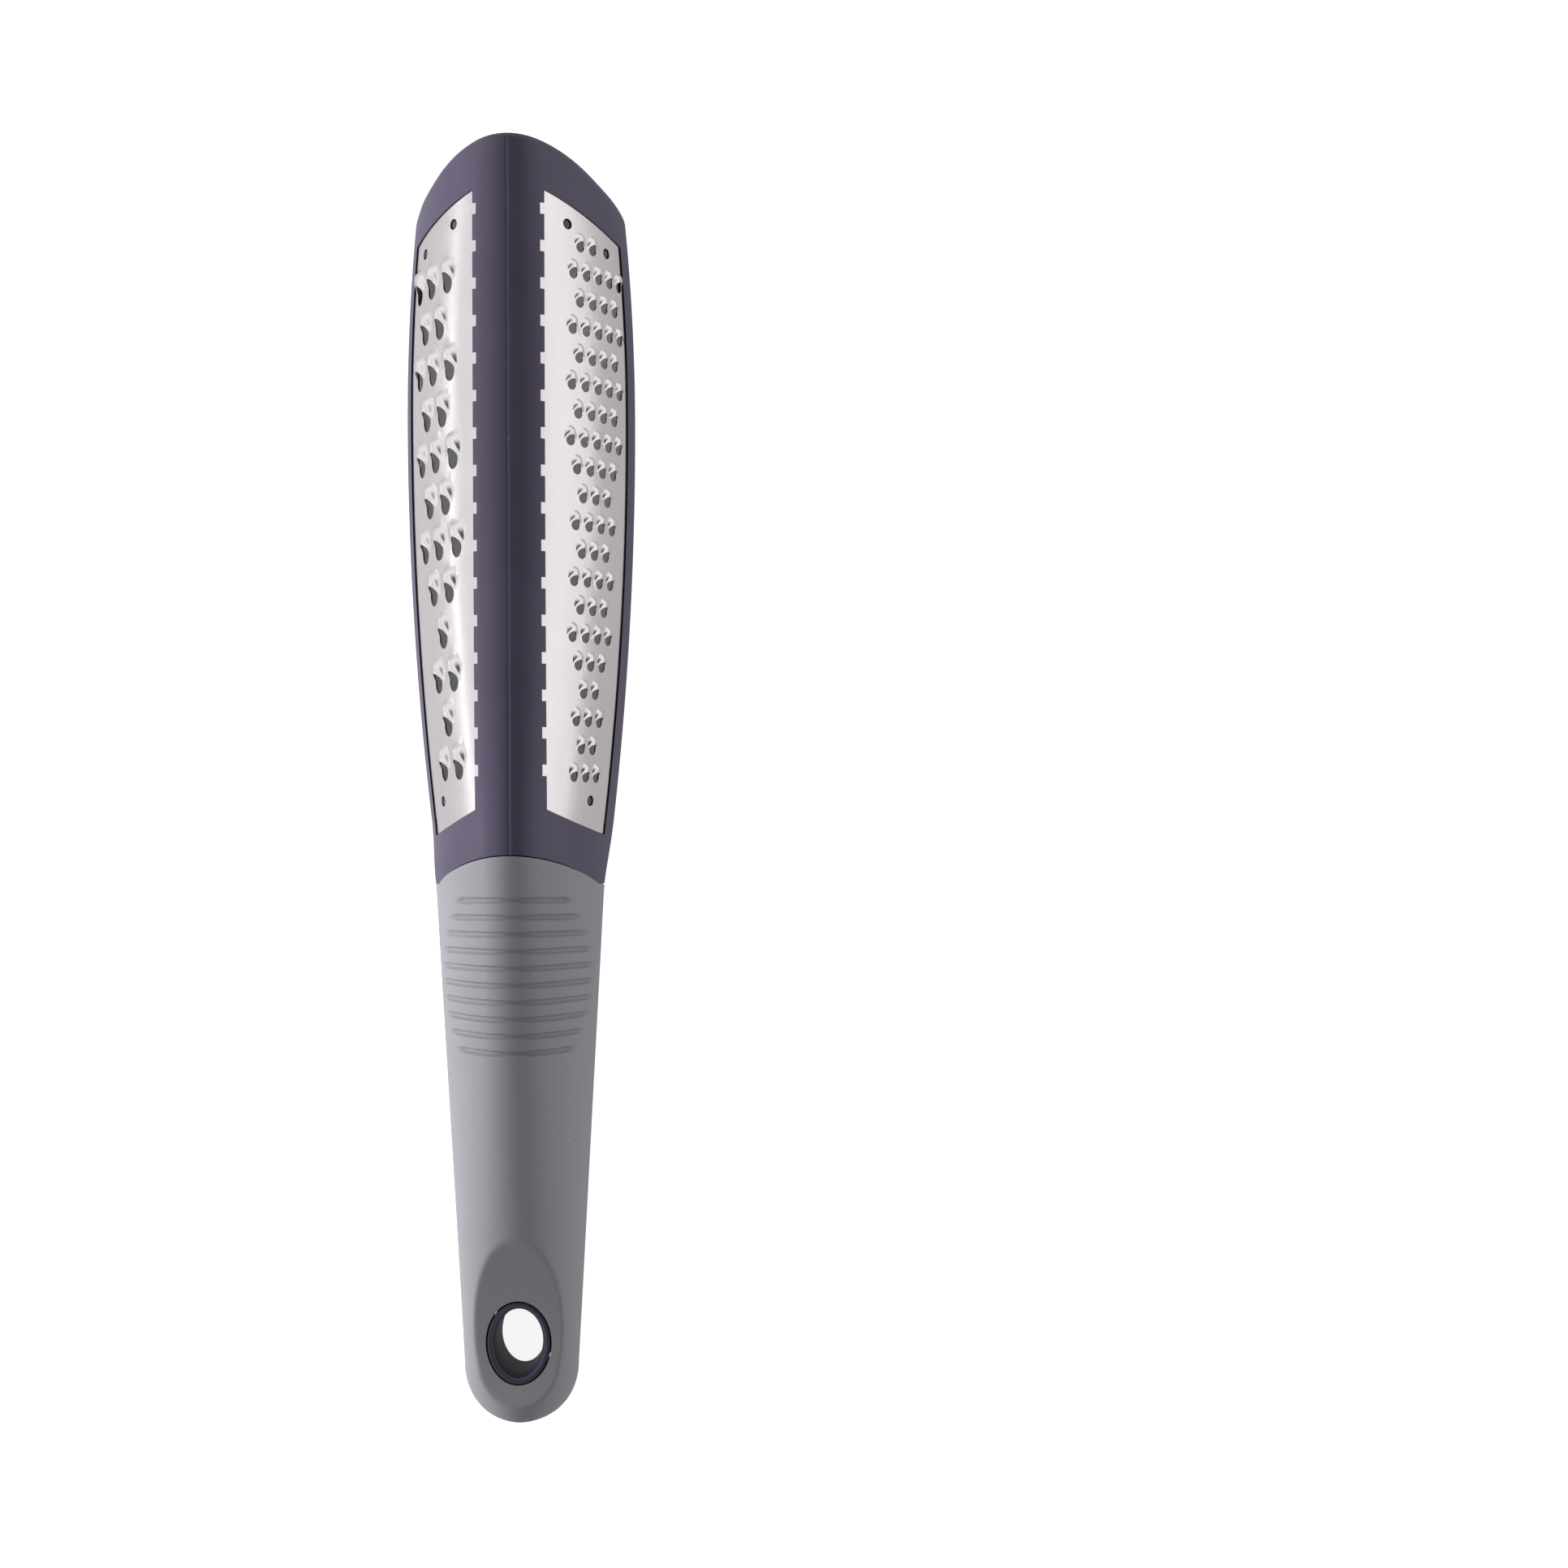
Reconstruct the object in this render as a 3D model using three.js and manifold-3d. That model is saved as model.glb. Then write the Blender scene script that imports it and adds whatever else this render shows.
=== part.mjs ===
// Two-sided hand grater lying on its open back: +Y points to the nose, +Z up from the table, millimetres.
import * as THREE from "three";
import { mergeVertices } from "three/addons/utils/BufferGeometryUtils.js";
import Module from "manifold-3d";

const wasm = await Module();
wasm.setup();

// Driving sizes of the whole tool
const OVERALL_LENGTH = 286;
const HEAD_LENGTH = 157.5;
const HEAD_HALF_WIDTH = 26.1;
const SHOULDER_TAPER = 1.6;
const NECK_TAPER = 7;
const RIDGE_HEIGHT = 26.5;
const WIDEST_FROM_NOSE = 59;
const SHOULDER_FROM_NOSE = 20;
const NOSE_EASE = 2.5;
const NOSE_TURN_DEGREES = 39;
const JOINT_EASE = 9.9;
const CLEARANCE = 0.3;

// Arched cross-section: a tight crown arc runs on into a wide flank arc
const CROWN_HALF_WIDTH = 8;
const CROWN_END_DEGREES = 34;
const FLANK_END_DEGREES = 72;

// Moulded head
const WALL = 2.8;
const RIM_ROUND = 1.1;
const NECK_BLEND = 14;
const BULKHEAD = 9;

// Steel plates and the seats that hold them, in plan
const PLATE_THICKNESS = 0.4;
const PLATE_RECESS = 0.25;
const PLATE_INNER_EDGE = 7.9;
const PLATE_RIM_MARGIN = 1.7;
const PLATE_FROM_NOSE = 12;
const PLATE_FROM_JOINT = 9.8;
const PLATE_END_SLANT = 0.53;
const PLATE_TOP_BULGE = 1.2;
const LEDGE = 1.2;
const RIDGE_LEDGE = 2.3;
const TOP_LEDGE = 8.3;
const BOTTOM_LEDGE = 5;
const TAB_PITCH = 8.2;
const TAB_LENGTH = 2.5;
const TAB_REACH = 1.1;

// Stakes of the moulding that stand in the holes of each plate
const STAKE_RADIUS = 0.9;
const STAKE_PAD_RADIUS = 2.4;
const TOP_STAKES = [
  { arc: 14.8, drop: 5.9 },
  { arc: 25.4, drop: 10 },
];
const BOTTOM_STAKE = { arc: 20.6, rise: 1.8 };

// Teeth: rows and columns fill the plate between margins, turned by a small tilt, with every second row half
// a column over. Each zone is a run of rows and the columns that it keeps. A tooth is an oval hole whose edge
// is drawn up into a lip: reach and side are how far the lip runs out towards the nose and beside the hole.
const COARSE = {
  tiltDegrees: 2.85,
  ridgeMargin: 16.7,
  rimMargin: 8.2,
  topMargin: 17,
  bottomMargin: 11.1,
  columns: 3,
  rows: 12,
  startsHalfOver: false,
  zones: [
    { rows: 8, from: 0, to: 2 },
    { rows: 4, from: 0.5, to: 1.5 },
  ],
  tooth: { halfWidth: 1.6, halfLength: 2.25, height: 1.55, reach: 3.1, side: 1.3, around: 10, rings: 3 },
};
const FINE = {
  tiltDegrees: 1.7,
  ridgeMargin: 15.6,
  rimMargin: 7.15,
  topMargin: 9.8,
  bottomMargin: 8.4,
  columns: 5,
  rows: 20,
  startsHalfOver: true,
  zones: [
    { rows: 1, from: 0.5, to: 1.5 },
    { rows: 8, from: 0, to: 4 },
    { rows: 7, from: 0.5, to: 3.5 },
    { rows: 4, from: 1, to: 3 },
  ],
  tooth: { halfWidth: 1.15, halfLength: 1.2, height: 0.95, reach: 1.7, side: 0.7, around: 7, rings: 2 },
};

// Lip of a tooth: how fast it sinks and narrows away from the nose end of its hole, and where it starts
const LIP_HEIGHT_POWER = 1.8;
const LIP_SPREAD_POWER = 3;
const LIP_START = -0.1;
const LIP_SINK = 0.12;
const LIP_WALL = 0.34;

// Soft grip, the tang inside it and the hanging eyelet
const GRIP_SKIN = 2.7;
const GRIP_END_HALF_WIDTH = 12.6;
const GRIP_END_HEIGHT = 15.5;
const GRIP_WAIST = 6.5;
const GRIP_FOOT_SHARE = 0.5;
const GROOVES = 10;
const GROOVE_PITCH = 3.61;
const GROOVE_WIDTH = 0.9;
const GROOVE_DEPTH = 0.75;
const GROOVE_HALF_LENGTH = 17.2;
const GROOVE_LENS_DROP = 4.2;
const FIRST_GROOVE_FROM_JOINT = 9.6;
const SCOOP_RADIUS = 52;
const SCOOP_FROM_END = 18;
const SCOOP_FLOOR = 12.6;
const EYELET_FROM_END = 18.8;
const EYELET_HALF_WIDTH = 7.1;
const EYELET_HALF_LENGTH = 9.2;
const EYELET_WALL = 1.9;

// How finely curves are cut, how far a cutting body runs past what it cuts, and when points count as one
const CROWN_STEPS = 3;
const FLANK_STEPS = 4;
const LOWER_STEPS = 3;
const NECK_STATIONS = 3;
const HEAD_STATIONS = 8;
const GRIP_STATIONS = 6;
const END_STATIONS = 5;
const EDGE_STEPS = 8;
const STAKE_SIDES = 8;
const SCOOP_SIDES = 96;
const END_TIP_SHARE = 0.3;
const PAST = 5;
const SAME_POINT = 1e-5;

// Places that follow from the sizes
const SHOULDER_HALF_WIDTH = HEAD_HALF_WIDTH - SHOULDER_TAPER;
const NECK_HALF_WIDTH = HEAD_HALF_WIDTH - NECK_TAPER;
const NOSE_RADIUS = SHOULDER_HALF_WIDTH + NOSE_EASE;
const JOINT_RADIUS = NECK_HALF_WIDTH + JOINT_EASE;
const NOSE = OVERALL_LENGTH / 2;
const TAIL = -OVERALL_LENGTH / 2;
const JOINT = NOSE - HEAD_LENGTH;
const JOINT_SIDE = JOINT - JOINT_RADIUS + Math.sqrt(JOINT_RADIUS ** 2 - NECK_HALF_WIDTH ** 2);
const WIDEST = NOSE - WIDEST_FROM_NOSE;
const SHOULDER = NOSE - SHOULDER_FROM_NOSE;
const PLATE_TOP = NOSE - PLATE_FROM_NOSE;
const PLATE_BOTTOM = JOINT + PLATE_FROM_JOINT;
const PLATE_LENGTH = PLATE_TOP - PLATE_BOTTOM;
const STAKES = [
  ...TOP_STAKES.map(({ arc, drop }) => ({ arc, y: PLATE_TOP - drop })),
  { arc: BOTTOM_STAKE.arc, y: PLATE_BOTTOM + BOTTOM_STAKE.rise },
];
const CHANNEL_END = JOINT + BULKHEAD;
const NECK_TOP = JOINT_SIDE + NECK_BLEND;
const GRIP_END_CENTRE = TAIL + GRIP_END_HALF_WIDTH;
const EYELET = TAIL + EYELET_FROM_END;
const HIGH = RIDGE_HEIGHT + PAST;
const { lerp, clamp, smoothstep, degToRad } = THREE.MathUtils;

// A closed three.js geometry as a body for joining and cutting, and back again
function solid(geometry) {
  const bare = geometry.clone();
  bare.deleteAttribute("normal");
  bare.deleteAttribute("uv");
  const merged = mergeVertices(bare, SAME_POINT);
  return new wasm.Manifold(
    new wasm.Mesh({
      numProp: 3,
      vertProperties: merged.attributes.position.array,
      triVerts: new Uint32Array(merged.index.array),
    }),
  );
}

function geometryOf(body) {
  const mesh = body.getMesh();
  const geometry = new THREE.BufferGeometry();
  geometry.setAttribute("position", new THREE.BufferAttribute(new Float32Array(mesh.vertProperties), 3));
  geometry.setIndex(new THREE.BufferAttribute(new Uint32Array(mesh.triVerts), 1));
  geometry.computeVertexNormals();
  return geometry;
}

// Skin over rings of equally many points, closed by a flat cap at each end
function loft(rings) {
  const count = rings[0].length;
  const points = rings.flat().flatMap((p) => [p.x, p.y, p.z]);
  const faces = [];
  for (let r = 0; r + 1 < rings.length; r++) {
    for (let i = 0; i < count; i++) {
      const a = r * count + i;
      const b = r * count + ((i + 1) % count);
      faces.push(a, b, a + count, b, b + count, a + count);
    }
  }
  const last = (rings.length - 1) * count;
  for (let i = 1; i + 1 < count; i++) {
    faces.push(0, i + 1, i);
    faces.push(last, last + i, last + i + 1);
  }
  const geometry = new THREE.BufferGeometry();
  geometry.setAttribute("position", new THREE.Float32BufferAttribute(points, 3));
  geometry.setIndex(faces);
  return solid(geometry);
}

// Upright body over an outline drawn in plan
function prism(shape, low, high) {
  const options = { depth: high - low, bevelEnabled: false, curveSegments: EDGE_STEPS };
  return solid(new THREE.ExtrudeGeometry(shape, options).translate(0, 0, low));
}

// Plan of the head from a low station up to its nose, moved inwards: a round tip between straight tangents
function nosePlan(inset, low) {
  const radius = NOSE_RADIUS - inset;
  const centre = NOSE - NOSE_RADIUS;
  const turn = degToRad(NOSE_TURN_DEGREES);
  const wide = HEAD_HALF_WIDTH + PAST;
  const corner = centre + (radius - wide * Math.sin(turn)) / Math.cos(turn);
  const shape = new THREE.Shape();
  shape.moveTo(-wide, low);
  shape.lineTo(wide, low);
  shape.lineTo(wide, corner);
  shape.absarc(0, centre, radius, Math.PI / 2 - turn, Math.PI / 2 + turn, false);
  shape.lineTo(-wide, corner);
  return shape;
}

// Plan of a tongue with a round end, from a low station up to the tip
function tongue(radius, tip, low) {
  const wide = Math.max(radius, HEAD_HALF_WIDTH) + PAST;
  const centre = tip - radius;
  const shape = new THREE.Shape();
  shape.moveTo(-wide, low);
  shape.lineTo(wide, low);
  shape.lineTo(wide, centre);
  shape.lineTo(radius, centre);
  shape.absarc(0, centre, radius, 0, Math.PI, false);
  shape.lineTo(-wide, centre);
  return shape;
}

// Half-width of the head in plan: one parabola towards the nose, one towards the neck
function headHalfWidth(y) {
  const ahead = y > WIDEST;
  const narrow = ahead ? SHOULDER_HALF_WIDTH : NECK_HALF_WIDTH;
  const share = (y - WIDEST) / ((ahead ? SHOULDER : JOINT_SIDE) - WIDEST);
  return HEAD_HALF_WIDTH - (HEAD_HALF_WIDTH - narrow) * share * share;
}

// Right half of the arch from crown to rim, as shares of its half-width and its height
function archShares() {
  const start = degToRad(CROWN_END_DEGREES);
  const end = degToRad(FLANK_END_DEGREES);
  const crownRadius = CROWN_HALF_WIDTH / Math.sin(start);
  const flankRadius = (HEAD_HALF_WIDTH - CROWN_HALF_WIDTH) / (Math.sin(end) - Math.sin(start));
  const crownDrop = crownRadius * (1 - Math.cos(start));
  const points = [];
  for (let i = 0; i <= CROWN_STEPS; i++) {
    const slope = (start * i) / CROWN_STEPS;
    points.push([crownRadius * Math.sin(slope), crownRadius * (1 - Math.cos(slope))]);
  }
  for (let i = 1; i <= FLANK_STEPS; i++) {
    const slope = lerp(start, end, i / FLANK_STEPS);
    const across = CROWN_HALF_WIDTH + flankRadius * (Math.sin(slope) - Math.sin(start));
    points.push([across, crownDrop + flankRadius * (Math.cos(start) - Math.cos(slope))]);
  }
  const [width, drop] = points[points.length - 1];
  return points.map(([x, d]) => [x / width, 1 - d / drop]);
}

// Measures of the cross-section at a station: those of the head, those of the grip, and a blend in the neck
function measuresAt(y) {
  const along = clamp((JOINT_SIDE - y) / (JOINT_SIDE - GRIP_END_CENTRE), 0, 1);
  const neck = 1 - smoothstep(y, JOINT_SIDE, NECK_TOP);
  const headWidth = headHalfWidth(Math.max(y, JOINT_SIDE));
  const width = y < JOINT_SIDE ? lerp(NECK_HALF_WIDTH, GRIP_END_HALF_WIDTH, along) : headWidth;
  return {
    halfWidth: width,
    top: lerp(RIDGE_HEIGHT, GRIP_END_HEIGHT, clamp((JOINT - y) / (JOINT - GRIP_END_CENTRE), 0, 1)),
    waist: lerp(RIM_ROUND, GRIP_WAIST, neck),
    footShare: lerp(1 - RIM_ROUND / width, GRIP_FOOT_SHARE, neck),
    roofShare: 1 - along,
  };
}

// Upper right half of the section: the arch of the head, softening to an ellipse along the grip
function upperHalf(m) {
  const shares = archShares();
  return shares.map(([across, up], i) => {
    const turn = (Math.PI / 2) * (1 - i / (shares.length - 1));
    const x = m.halfWidth * lerp(Math.cos(turn), across, m.roofShare);
    return new THREE.Vector2(i ? x : 0, lerp(m.waist, m.top, lerp(Math.sin(turn), up, m.roofShare)));
  });
}

// Lower right half: rounded under from the widest place to a flat foot
function lowerHalf(m, floor) {
  return Array.from({ length: LOWER_STEPS }, (_, i) => {
    const turn = ((Math.PI / 2) * (i + 1)) / LOWER_STEPS;
    const x = m.halfWidth * lerp(m.footShare, 1, Math.cos(turn));
    return new THREE.Vector2(x, lerp(m.waist, floor, Math.sin(turn)));
  });
}

// Full ring at one station from its right half, listed from crown to underside
function ring(half, y) {
  const right = half.map((p) => new THREE.Vector3(p.x, y, p.y));
  const left = half.slice(1).map((p) => new THREE.Vector3(-p.x, y, p.y));
  return [...right, ...left.reverse()];
}

// Upper half of the head's section moved inwards along its normals
function archInside(y, inset) {
  const line = upperHalf(measuresAt(y));
  return line.map((p, i) => {
    const before = i ? line[i - 1] : new THREE.Vector2(-line[1].x, line[1].y);
    const after = line[Math.min(i + 1, line.length - 1)];
    const along = after.clone().sub(before).normalize();
    return new THREE.Vector2(i ? p.x + along.y * inset : 0, p.y - along.x * inset);
  });
}

// Place on the arch at a distance from the ridge along the surface, with its outward normal
function onArch(side, y, arc, inset) {
  const line = archInside(y, inset);
  let rest = arc;
  let i = 0;
  while (i + 2 < line.length && rest > line[i].distanceTo(line[i + 1])) {
    rest -= line[i].distanceTo(line[i + 1]);
    i += 1;
  }
  const across = line[i + 1].clone().sub(line[i]).normalize();
  const at = line[i].clone().addScaledVector(across, rest);
  const normal = new THREE.Vector3(-across.y * side, 0, across.x);
  const tip = new THREE.Vector3(0, 1, 0);
  const matrix = new THREE.Matrix4().makeBasis(tip.clone().cross(normal), tip, normal);
  return matrix.setPosition(at.x * side, y, at.y);
}

// Stations of the head from its joint to past its nose, close together in the neck
function headStations(from) {
  const stations = [];
  for (let i = 0; i < NECK_STATIONS; i++) {
    stations.push(lerp(from, NECK_TOP, i / NECK_STATIONS));
  }
  for (let i = 0; i <= HEAD_STATIONS; i++) {
    stations.push(lerp(NECK_TOP, NOSE + PAST, i / HEAD_STATIONS));
  }
  return stations;
}

// Everything under the arch when it is moved inwards, down past the table
function underArch(inset) {
  const rings = headStations(JOINT_SIDE).map((y) => {
    const half = archInside(y, inset);
    const foot = half[half.length - 1];
    return ring([...half, new THREE.Vector2(foot.x, -PAST)], y);
  });
  return loft(rings);
}

// Outside of the head and neck as one filled body
function headBlank() {
  const rings = headStations(JOINT_SIDE - PAST).map((y) => {
    const m = measuresAt(y);
    return ring([...upperHalf(m), ...lowerHalf(m, 0)], y);
  });
  const nosed = loft(rings).intersect(prism(nosePlan(0, TAIL - PAST), -PAST, HIGH));
  return nosed.subtract(prism(tongue(JOINT_RADIUS, JOINT, TAIL - PAST), -PAST, HIGH));
}

// The handle moved inwards by an inset, from a station back to its rounded end
function handle(from, inset) {
  const radius = GRIP_END_HALF_WIDTH - inset;
  const rounded = Array.from({ length: END_STATIONS }, (_, i) => {
    const turn = ((Math.PI / 2) * (i + END_TIP_SHARE)) / END_STATIONS;
    const shrink = Math.sin(turn);
    const m = measuresAt(GRIP_END_CENTRE);
    const soft = Math.sqrt(shrink);
    m.halfWidth = radius * shrink;
    m.top = lerp(m.waist, m.top - inset, soft);
    const floor = lerp(m.waist, inset, soft);
    return ring([...upperHalf(m), ...lowerHalf(m, floor)], GRIP_END_CENTRE - radius * Math.cos(turn));
  });
  const straight = Array.from({ length: GRIP_STATIONS + 1 }, (_, i) => {
    const y = lerp(GRIP_END_CENTRE, from, i / GRIP_STATIONS);
    const m = measuresAt(y);
    m.halfWidth -= inset;
    m.top -= inset;
    return ring([...upperHalf(m), ...lowerHalf(m, inset)], y);
  });
  return loft([...rounded, ...straight]);
}

// Outline of a plate in plan, with the tabs of its ridge edge, grown all round by an allowance
function plateShape(side, grow) {
  const inner = PLATE_INNER_EDGE - grow;
  const tabTip = inner - TAB_REACH;
  const outerAt = (y) => headHalfWidth(y) - PLATE_RIM_MARGIN + grow;
  const endAt = (y, x) => y - PLATE_END_SLANT * (x - PLATE_INNER_EDGE);
  const top = PLATE_TOP + grow;
  const bottom = PLATE_BOTTOM - grow;
  const topOuter = endAt(top, outerAt(top));
  const bottomOuter = endAt(bottom, outerAt(bottom));
  const middle = (inner + outerAt(topOuter)) / 2;
  const shape = new THREE.Shape();
  shape.moveTo(side * inner, top);
  const tabs = Math.floor((PLATE_LENGTH - TAB_LENGTH) / TAB_PITCH);
  for (let i = 0; i < tabs; i++) {
    const centre = PLATE_TOP - (i + 0.5) * TAB_PITCH;
    const reach = TAB_LENGTH / 2 + grow;
    shape.lineTo(side * inner, centre + reach);
    shape.lineTo(side * tabTip, centre + reach);
    shape.lineTo(side * tabTip, centre - reach);
    shape.lineTo(side * inner, centre - reach);
  }
  shape.lineTo(side * inner, bottom);
  for (let i = 0; i <= EDGE_STEPS; i++) {
    const y = lerp(bottomOuter, topOuter, i / EDGE_STEPS);
    shape.lineTo(side * outerAt(y), y);
  }
  const bulge = endAt(top, middle) + PLATE_TOP_BULGE;
  shape.quadraticCurveTo(side * middle, bulge, side * inner, top);
  return shape;
}

// Outline of the opening in the moulding behind a plate
function windowShape(side) {
  const inner = PLATE_INNER_EDGE + RIDGE_LEDGE;
  const outerAt = (y) => headHalfWidth(y) - PLATE_RIM_MARGIN - LEDGE;
  const top = PLATE_TOP - TOP_LEDGE;
  const bottom = PLATE_BOTTOM + BOTTOM_LEDGE;
  const shape = new THREE.Shape();
  shape.moveTo(side * inner, top);
  shape.lineTo(side * inner, bottom);
  for (let i = 0; i <= EDGE_STEPS; i++) {
    const y = lerp(bottom, top, i / EDGE_STEPS);
    shape.lineTo(side * outerAt(y), y);
  }
  return shape;
}

// A round bar standing on the arch, between two depths below its surface
function barOnArch(side, stake, radius, shallow, deep) {
  const bar = new THREE.CylinderGeometry(radius, radius, deep - shallow, STAKE_SIDES).rotateX(Math.PI / 2);
  const place = onArch(side, stake.y, stake.arc, 0);
  return solid(bar.translate(0, 0, -(shallow + deep) / 2).applyMatrix4(place));
}

// Point beside the oval hole of a tooth, which has its nose end at the origin
function besideHole({ halfWidth, halfLength }, turn, away, z) {
  const x = (halfWidth + away) * Math.sin(turn);
  const y = (halfLength + away) * Math.cos(turn) - halfLength;
  return new THREE.Vector3(x, y, z);
}

// Rings of a tooth's lip out to its foot, lowered by a wall: highest at the nose end, flat towards the handle
function lipRings(tooth, start, wall) {
  return Array.from({ length: tooth.rings }, (_, r) => {
    const share = lerp(start, 1, r / (tooth.rings - 1));
    const profile = (1 + Math.cos(Math.PI * Math.max(share, 0))) / 2;
    return Array.from({ length: tooth.around }, (_, i) => {
      const turn = (2 * Math.PI * i) / tooth.around;
      const lift = Math.max(Math.cos(turn), 0);
      const spread = lerp(tooth.side, tooth.reach, lift ** LIP_SPREAD_POWER) - wall;
      const z = tooth.height * lift ** LIP_HEIGHT_POWER * profile - LIP_SINK - wall;
      return besideHole(tooth, turn, share * spread, z);
    });
  });
}

// A ring moved straight up or down to one height
function levelled(points, z) {
  return points.map((p) => new THREE.Vector3(p.x, p.y, z));
}

// Lip of a tooth, standing in the sheet
function lip(tooth) {
  const rings = lipRings(tooth, LIP_START, 0);
  return loft([...rings, levelled(rings.at(-1), -PLATE_THICKNESS / 2)]);
}

// Space of a tooth: the oval hole from above, widening under the lip, and down through the sheet
function toothSpace(tooth) {
  const rings = lipRings(tooth, 0, LIP_WALL);
  return loft([levelled(rings[0], 2 * tooth.height), ...rings, levelled(rings.at(-1), -2 * PLATE_THICKNESS)]);
}

// Length of one side of the arch from ridge to rim, where the head is widest
function flankLength() {
  const line = upperHalf(measuresAt(WIDEST));
  return line.slice(1).reduce((sum, p, i) => sum + p.distanceTo(line[i]), 0);
}

// Places of all teeth of a pattern on one flank
function toothPlaces(side, pattern) {
  const tilt = degToRad(pattern.tiltDegrees);
  const columnPitch = (flankLength() - pattern.ridgeMargin - pattern.rimMargin) / (pattern.columns - 1);
  const rowPitch = (PLATE_LENGTH - pattern.topMargin - pattern.bottomMargin) / (pattern.rows - 1);
  const places = [];
  let row = 0;
  for (const zone of pattern.zones) {
    for (let i = 0; i < zone.rows; i++) {
      const halfOver = row % 2 === (pattern.startsHalfOver ? 0 : 1);
      const offset = halfOver ? 0.5 : 0;
      for (let column = Math.ceil(zone.from - offset) + offset; column <= zone.to; column++) {
        const across = column * columnPitch;
        const down = row * rowPitch;
        const arc = pattern.ridgeMargin + across * Math.cos(tilt) - down * Math.sin(tilt);
        const y = PLATE_TOP - pattern.topMargin - down * Math.cos(tilt) - across * Math.sin(tilt);
        places.push(onArch(side, y, arc, PLATE_RECESS));
      }
      row += 1;
    }
  }
  return places;
}

// Thin steel plate: a layer of the arch cut to the outline, drilled for the stakes, with hoods over its holes
function plate(side, pattern) {
  const layer = underArch(PLATE_RECESS).subtract(underArch(PLATE_RECESS + PLATE_THICKNESS));
  let body = layer.intersect(prism(plateShape(side, 0), 0, HIGH));
  for (const stake of STAKES) {
    body = body.subtract(barOnArch(side, stake, STAKE_RADIUS + CLEARANCE, -PAST, PAST));
  }
  const raised = geometryOf(lip(pattern.tooth));
  const space = geometryOf(toothSpace(pattern.tooth));
  for (const place of toothPlaces(side, pattern)) {
    body = body.add(solid(raised.clone().applyMatrix4(place)));
    body = body.subtract(solid(space.clone().applyMatrix4(place)));
  }
  return body;
}

// Seat of a plate in the moulding: a shallow recess all over it and a window behind its teeth
function cutSeat(body, side) {
  const under = PLATE_RECESS + PLATE_THICKNESS + CLEARANCE;
  const recess = prism(plateShape(side, CLEARANCE), 0, HIGH).subtract(underArch(under));
  let opening = prism(windowShape(side), -PAST, HIGH);
  for (const stake of STAKES) {
    opening = opening.subtract(barOnArch(side, stake, STAKE_PAD_RADIUS, -PAST, WALL + CLEARANCE));
  }
  let cut = body.subtract(recess).subtract(opening);
  for (const stake of STAKES) {
    cut = cut.add(barOnArch(side, stake, STAKE_RADIUS, PLATE_RECESS, WALL - CLEARANCE));
  }
  return cut;
}

// Large bar across the end of the grip that cuts its hollow scoop, widened by a depth
function scoopBar(depth) {
  const radius = SCOOP_RADIUS + depth;
  const bar = new THREE.CylinderGeometry(radius, radius, 4 * GRIP_END_HALF_WIDTH, SCOOP_SIDES);
  bar.rotateZ(Math.PI / 2).translate(0, TAIL + SCOOP_FROM_END, SCOOP_FLOOR + SCOOP_RADIUS);
  return solid(bar);
}

// Upright oval body round the middle of the hanging hole
function ovalPrism(halfWidth, halfLength, low = -PAST) {
  const oval = new THREE.Shape().absellipse(0, EYELET, halfWidth, halfLength, 0, 2 * Math.PI, false, 0);
  return prism(oval, low, HIGH);
}

// Moulded head with its two seats, its open channel, and the tang that runs into the grip
function headFrame() {
  const channel = underArch(WALL).intersect(prism(nosePlan(WALL, CHANNEL_END), -PAST, HIGH));
  const skin = GRIP_SKIN + CLEARANCE;
  const tang = handle(CHANNEL_END - WALL, skin)
    .subtract(scoopBar(skin))
    .subtract(ovalPrism(EYELET_HALF_WIDTH + CLEARANCE, EYELET_HALF_LENGTH + CLEARANCE));
  let body = headBlank().subtract(channel);
  body = cutSeat(body, -1);
  body = cutSeat(body, 1);
  return body.add(tang);
}

// Soft sleeve over the tang, with its thumb grooves, end scoop and hanging hole
function softGrip() {
  const reach = JOINT + PAST;
  let body = handle(reach, 0);
  body = body.intersect(prism(tongue(JOINT_RADIUS - CLEARANCE, JOINT - CLEARANCE, TAIL - PAST), -PAST, HIGH));
  const core = handle(reach, GROOVE_DEPTH);
  for (let i = 0; i < GROOVES; i++) {
    const fromMiddle = (2 * i) / (GROOVES - 1) - 1;
    const halfLength = GROOVE_HALF_LENGTH - GROOVE_LENS_DROP * fromMiddle * fromMiddle;
    const strip = new THREE.BoxGeometry(2 * halfLength, GROOVE_WIDTH, RIDGE_HEIGHT);
    const y = JOINT - FIRST_GROOVE_FROM_JOINT - i * GROOVE_PITCH;
    strip.translate(0, y, GRIP_WAIST + RIDGE_HEIGHT / 2);
    body = body.subtract(solid(strip).subtract(core));
  }
  body = body.subtract(handle(reach, GRIP_SKIN).subtract(scoopBar(GRIP_SKIN)));
  body = body.subtract(scoopBar(0));
  return body.subtract(ovalPrism(EYELET_HALF_WIDTH + CLEARANCE, EYELET_HALF_LENGTH + CLEARANCE));
}

// Bush that lines the hanging hole, level with the scoop on top and just clear of the table below
function hangEyelet() {
  const inner = ovalPrism(EYELET_HALF_WIDTH - EYELET_WALL, EYELET_HALF_LENGTH - EYELET_WALL);
  const outer = ovalPrism(EYELET_HALF_WIDTH, EYELET_HALF_LENGTH, CLEARANCE);
  return outer.subtract(inner).subtract(scoopBar(0));
}

// One named part of the assembly with its own material
function piece(name, body, color, roughness, metalness) {
  const material = new THREE.MeshStandardMaterial({ color, roughness, metalness });
  const mesh = new THREE.Mesh(geometryOf(body), material);
  mesh.name = name;
  return mesh;
}

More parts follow.
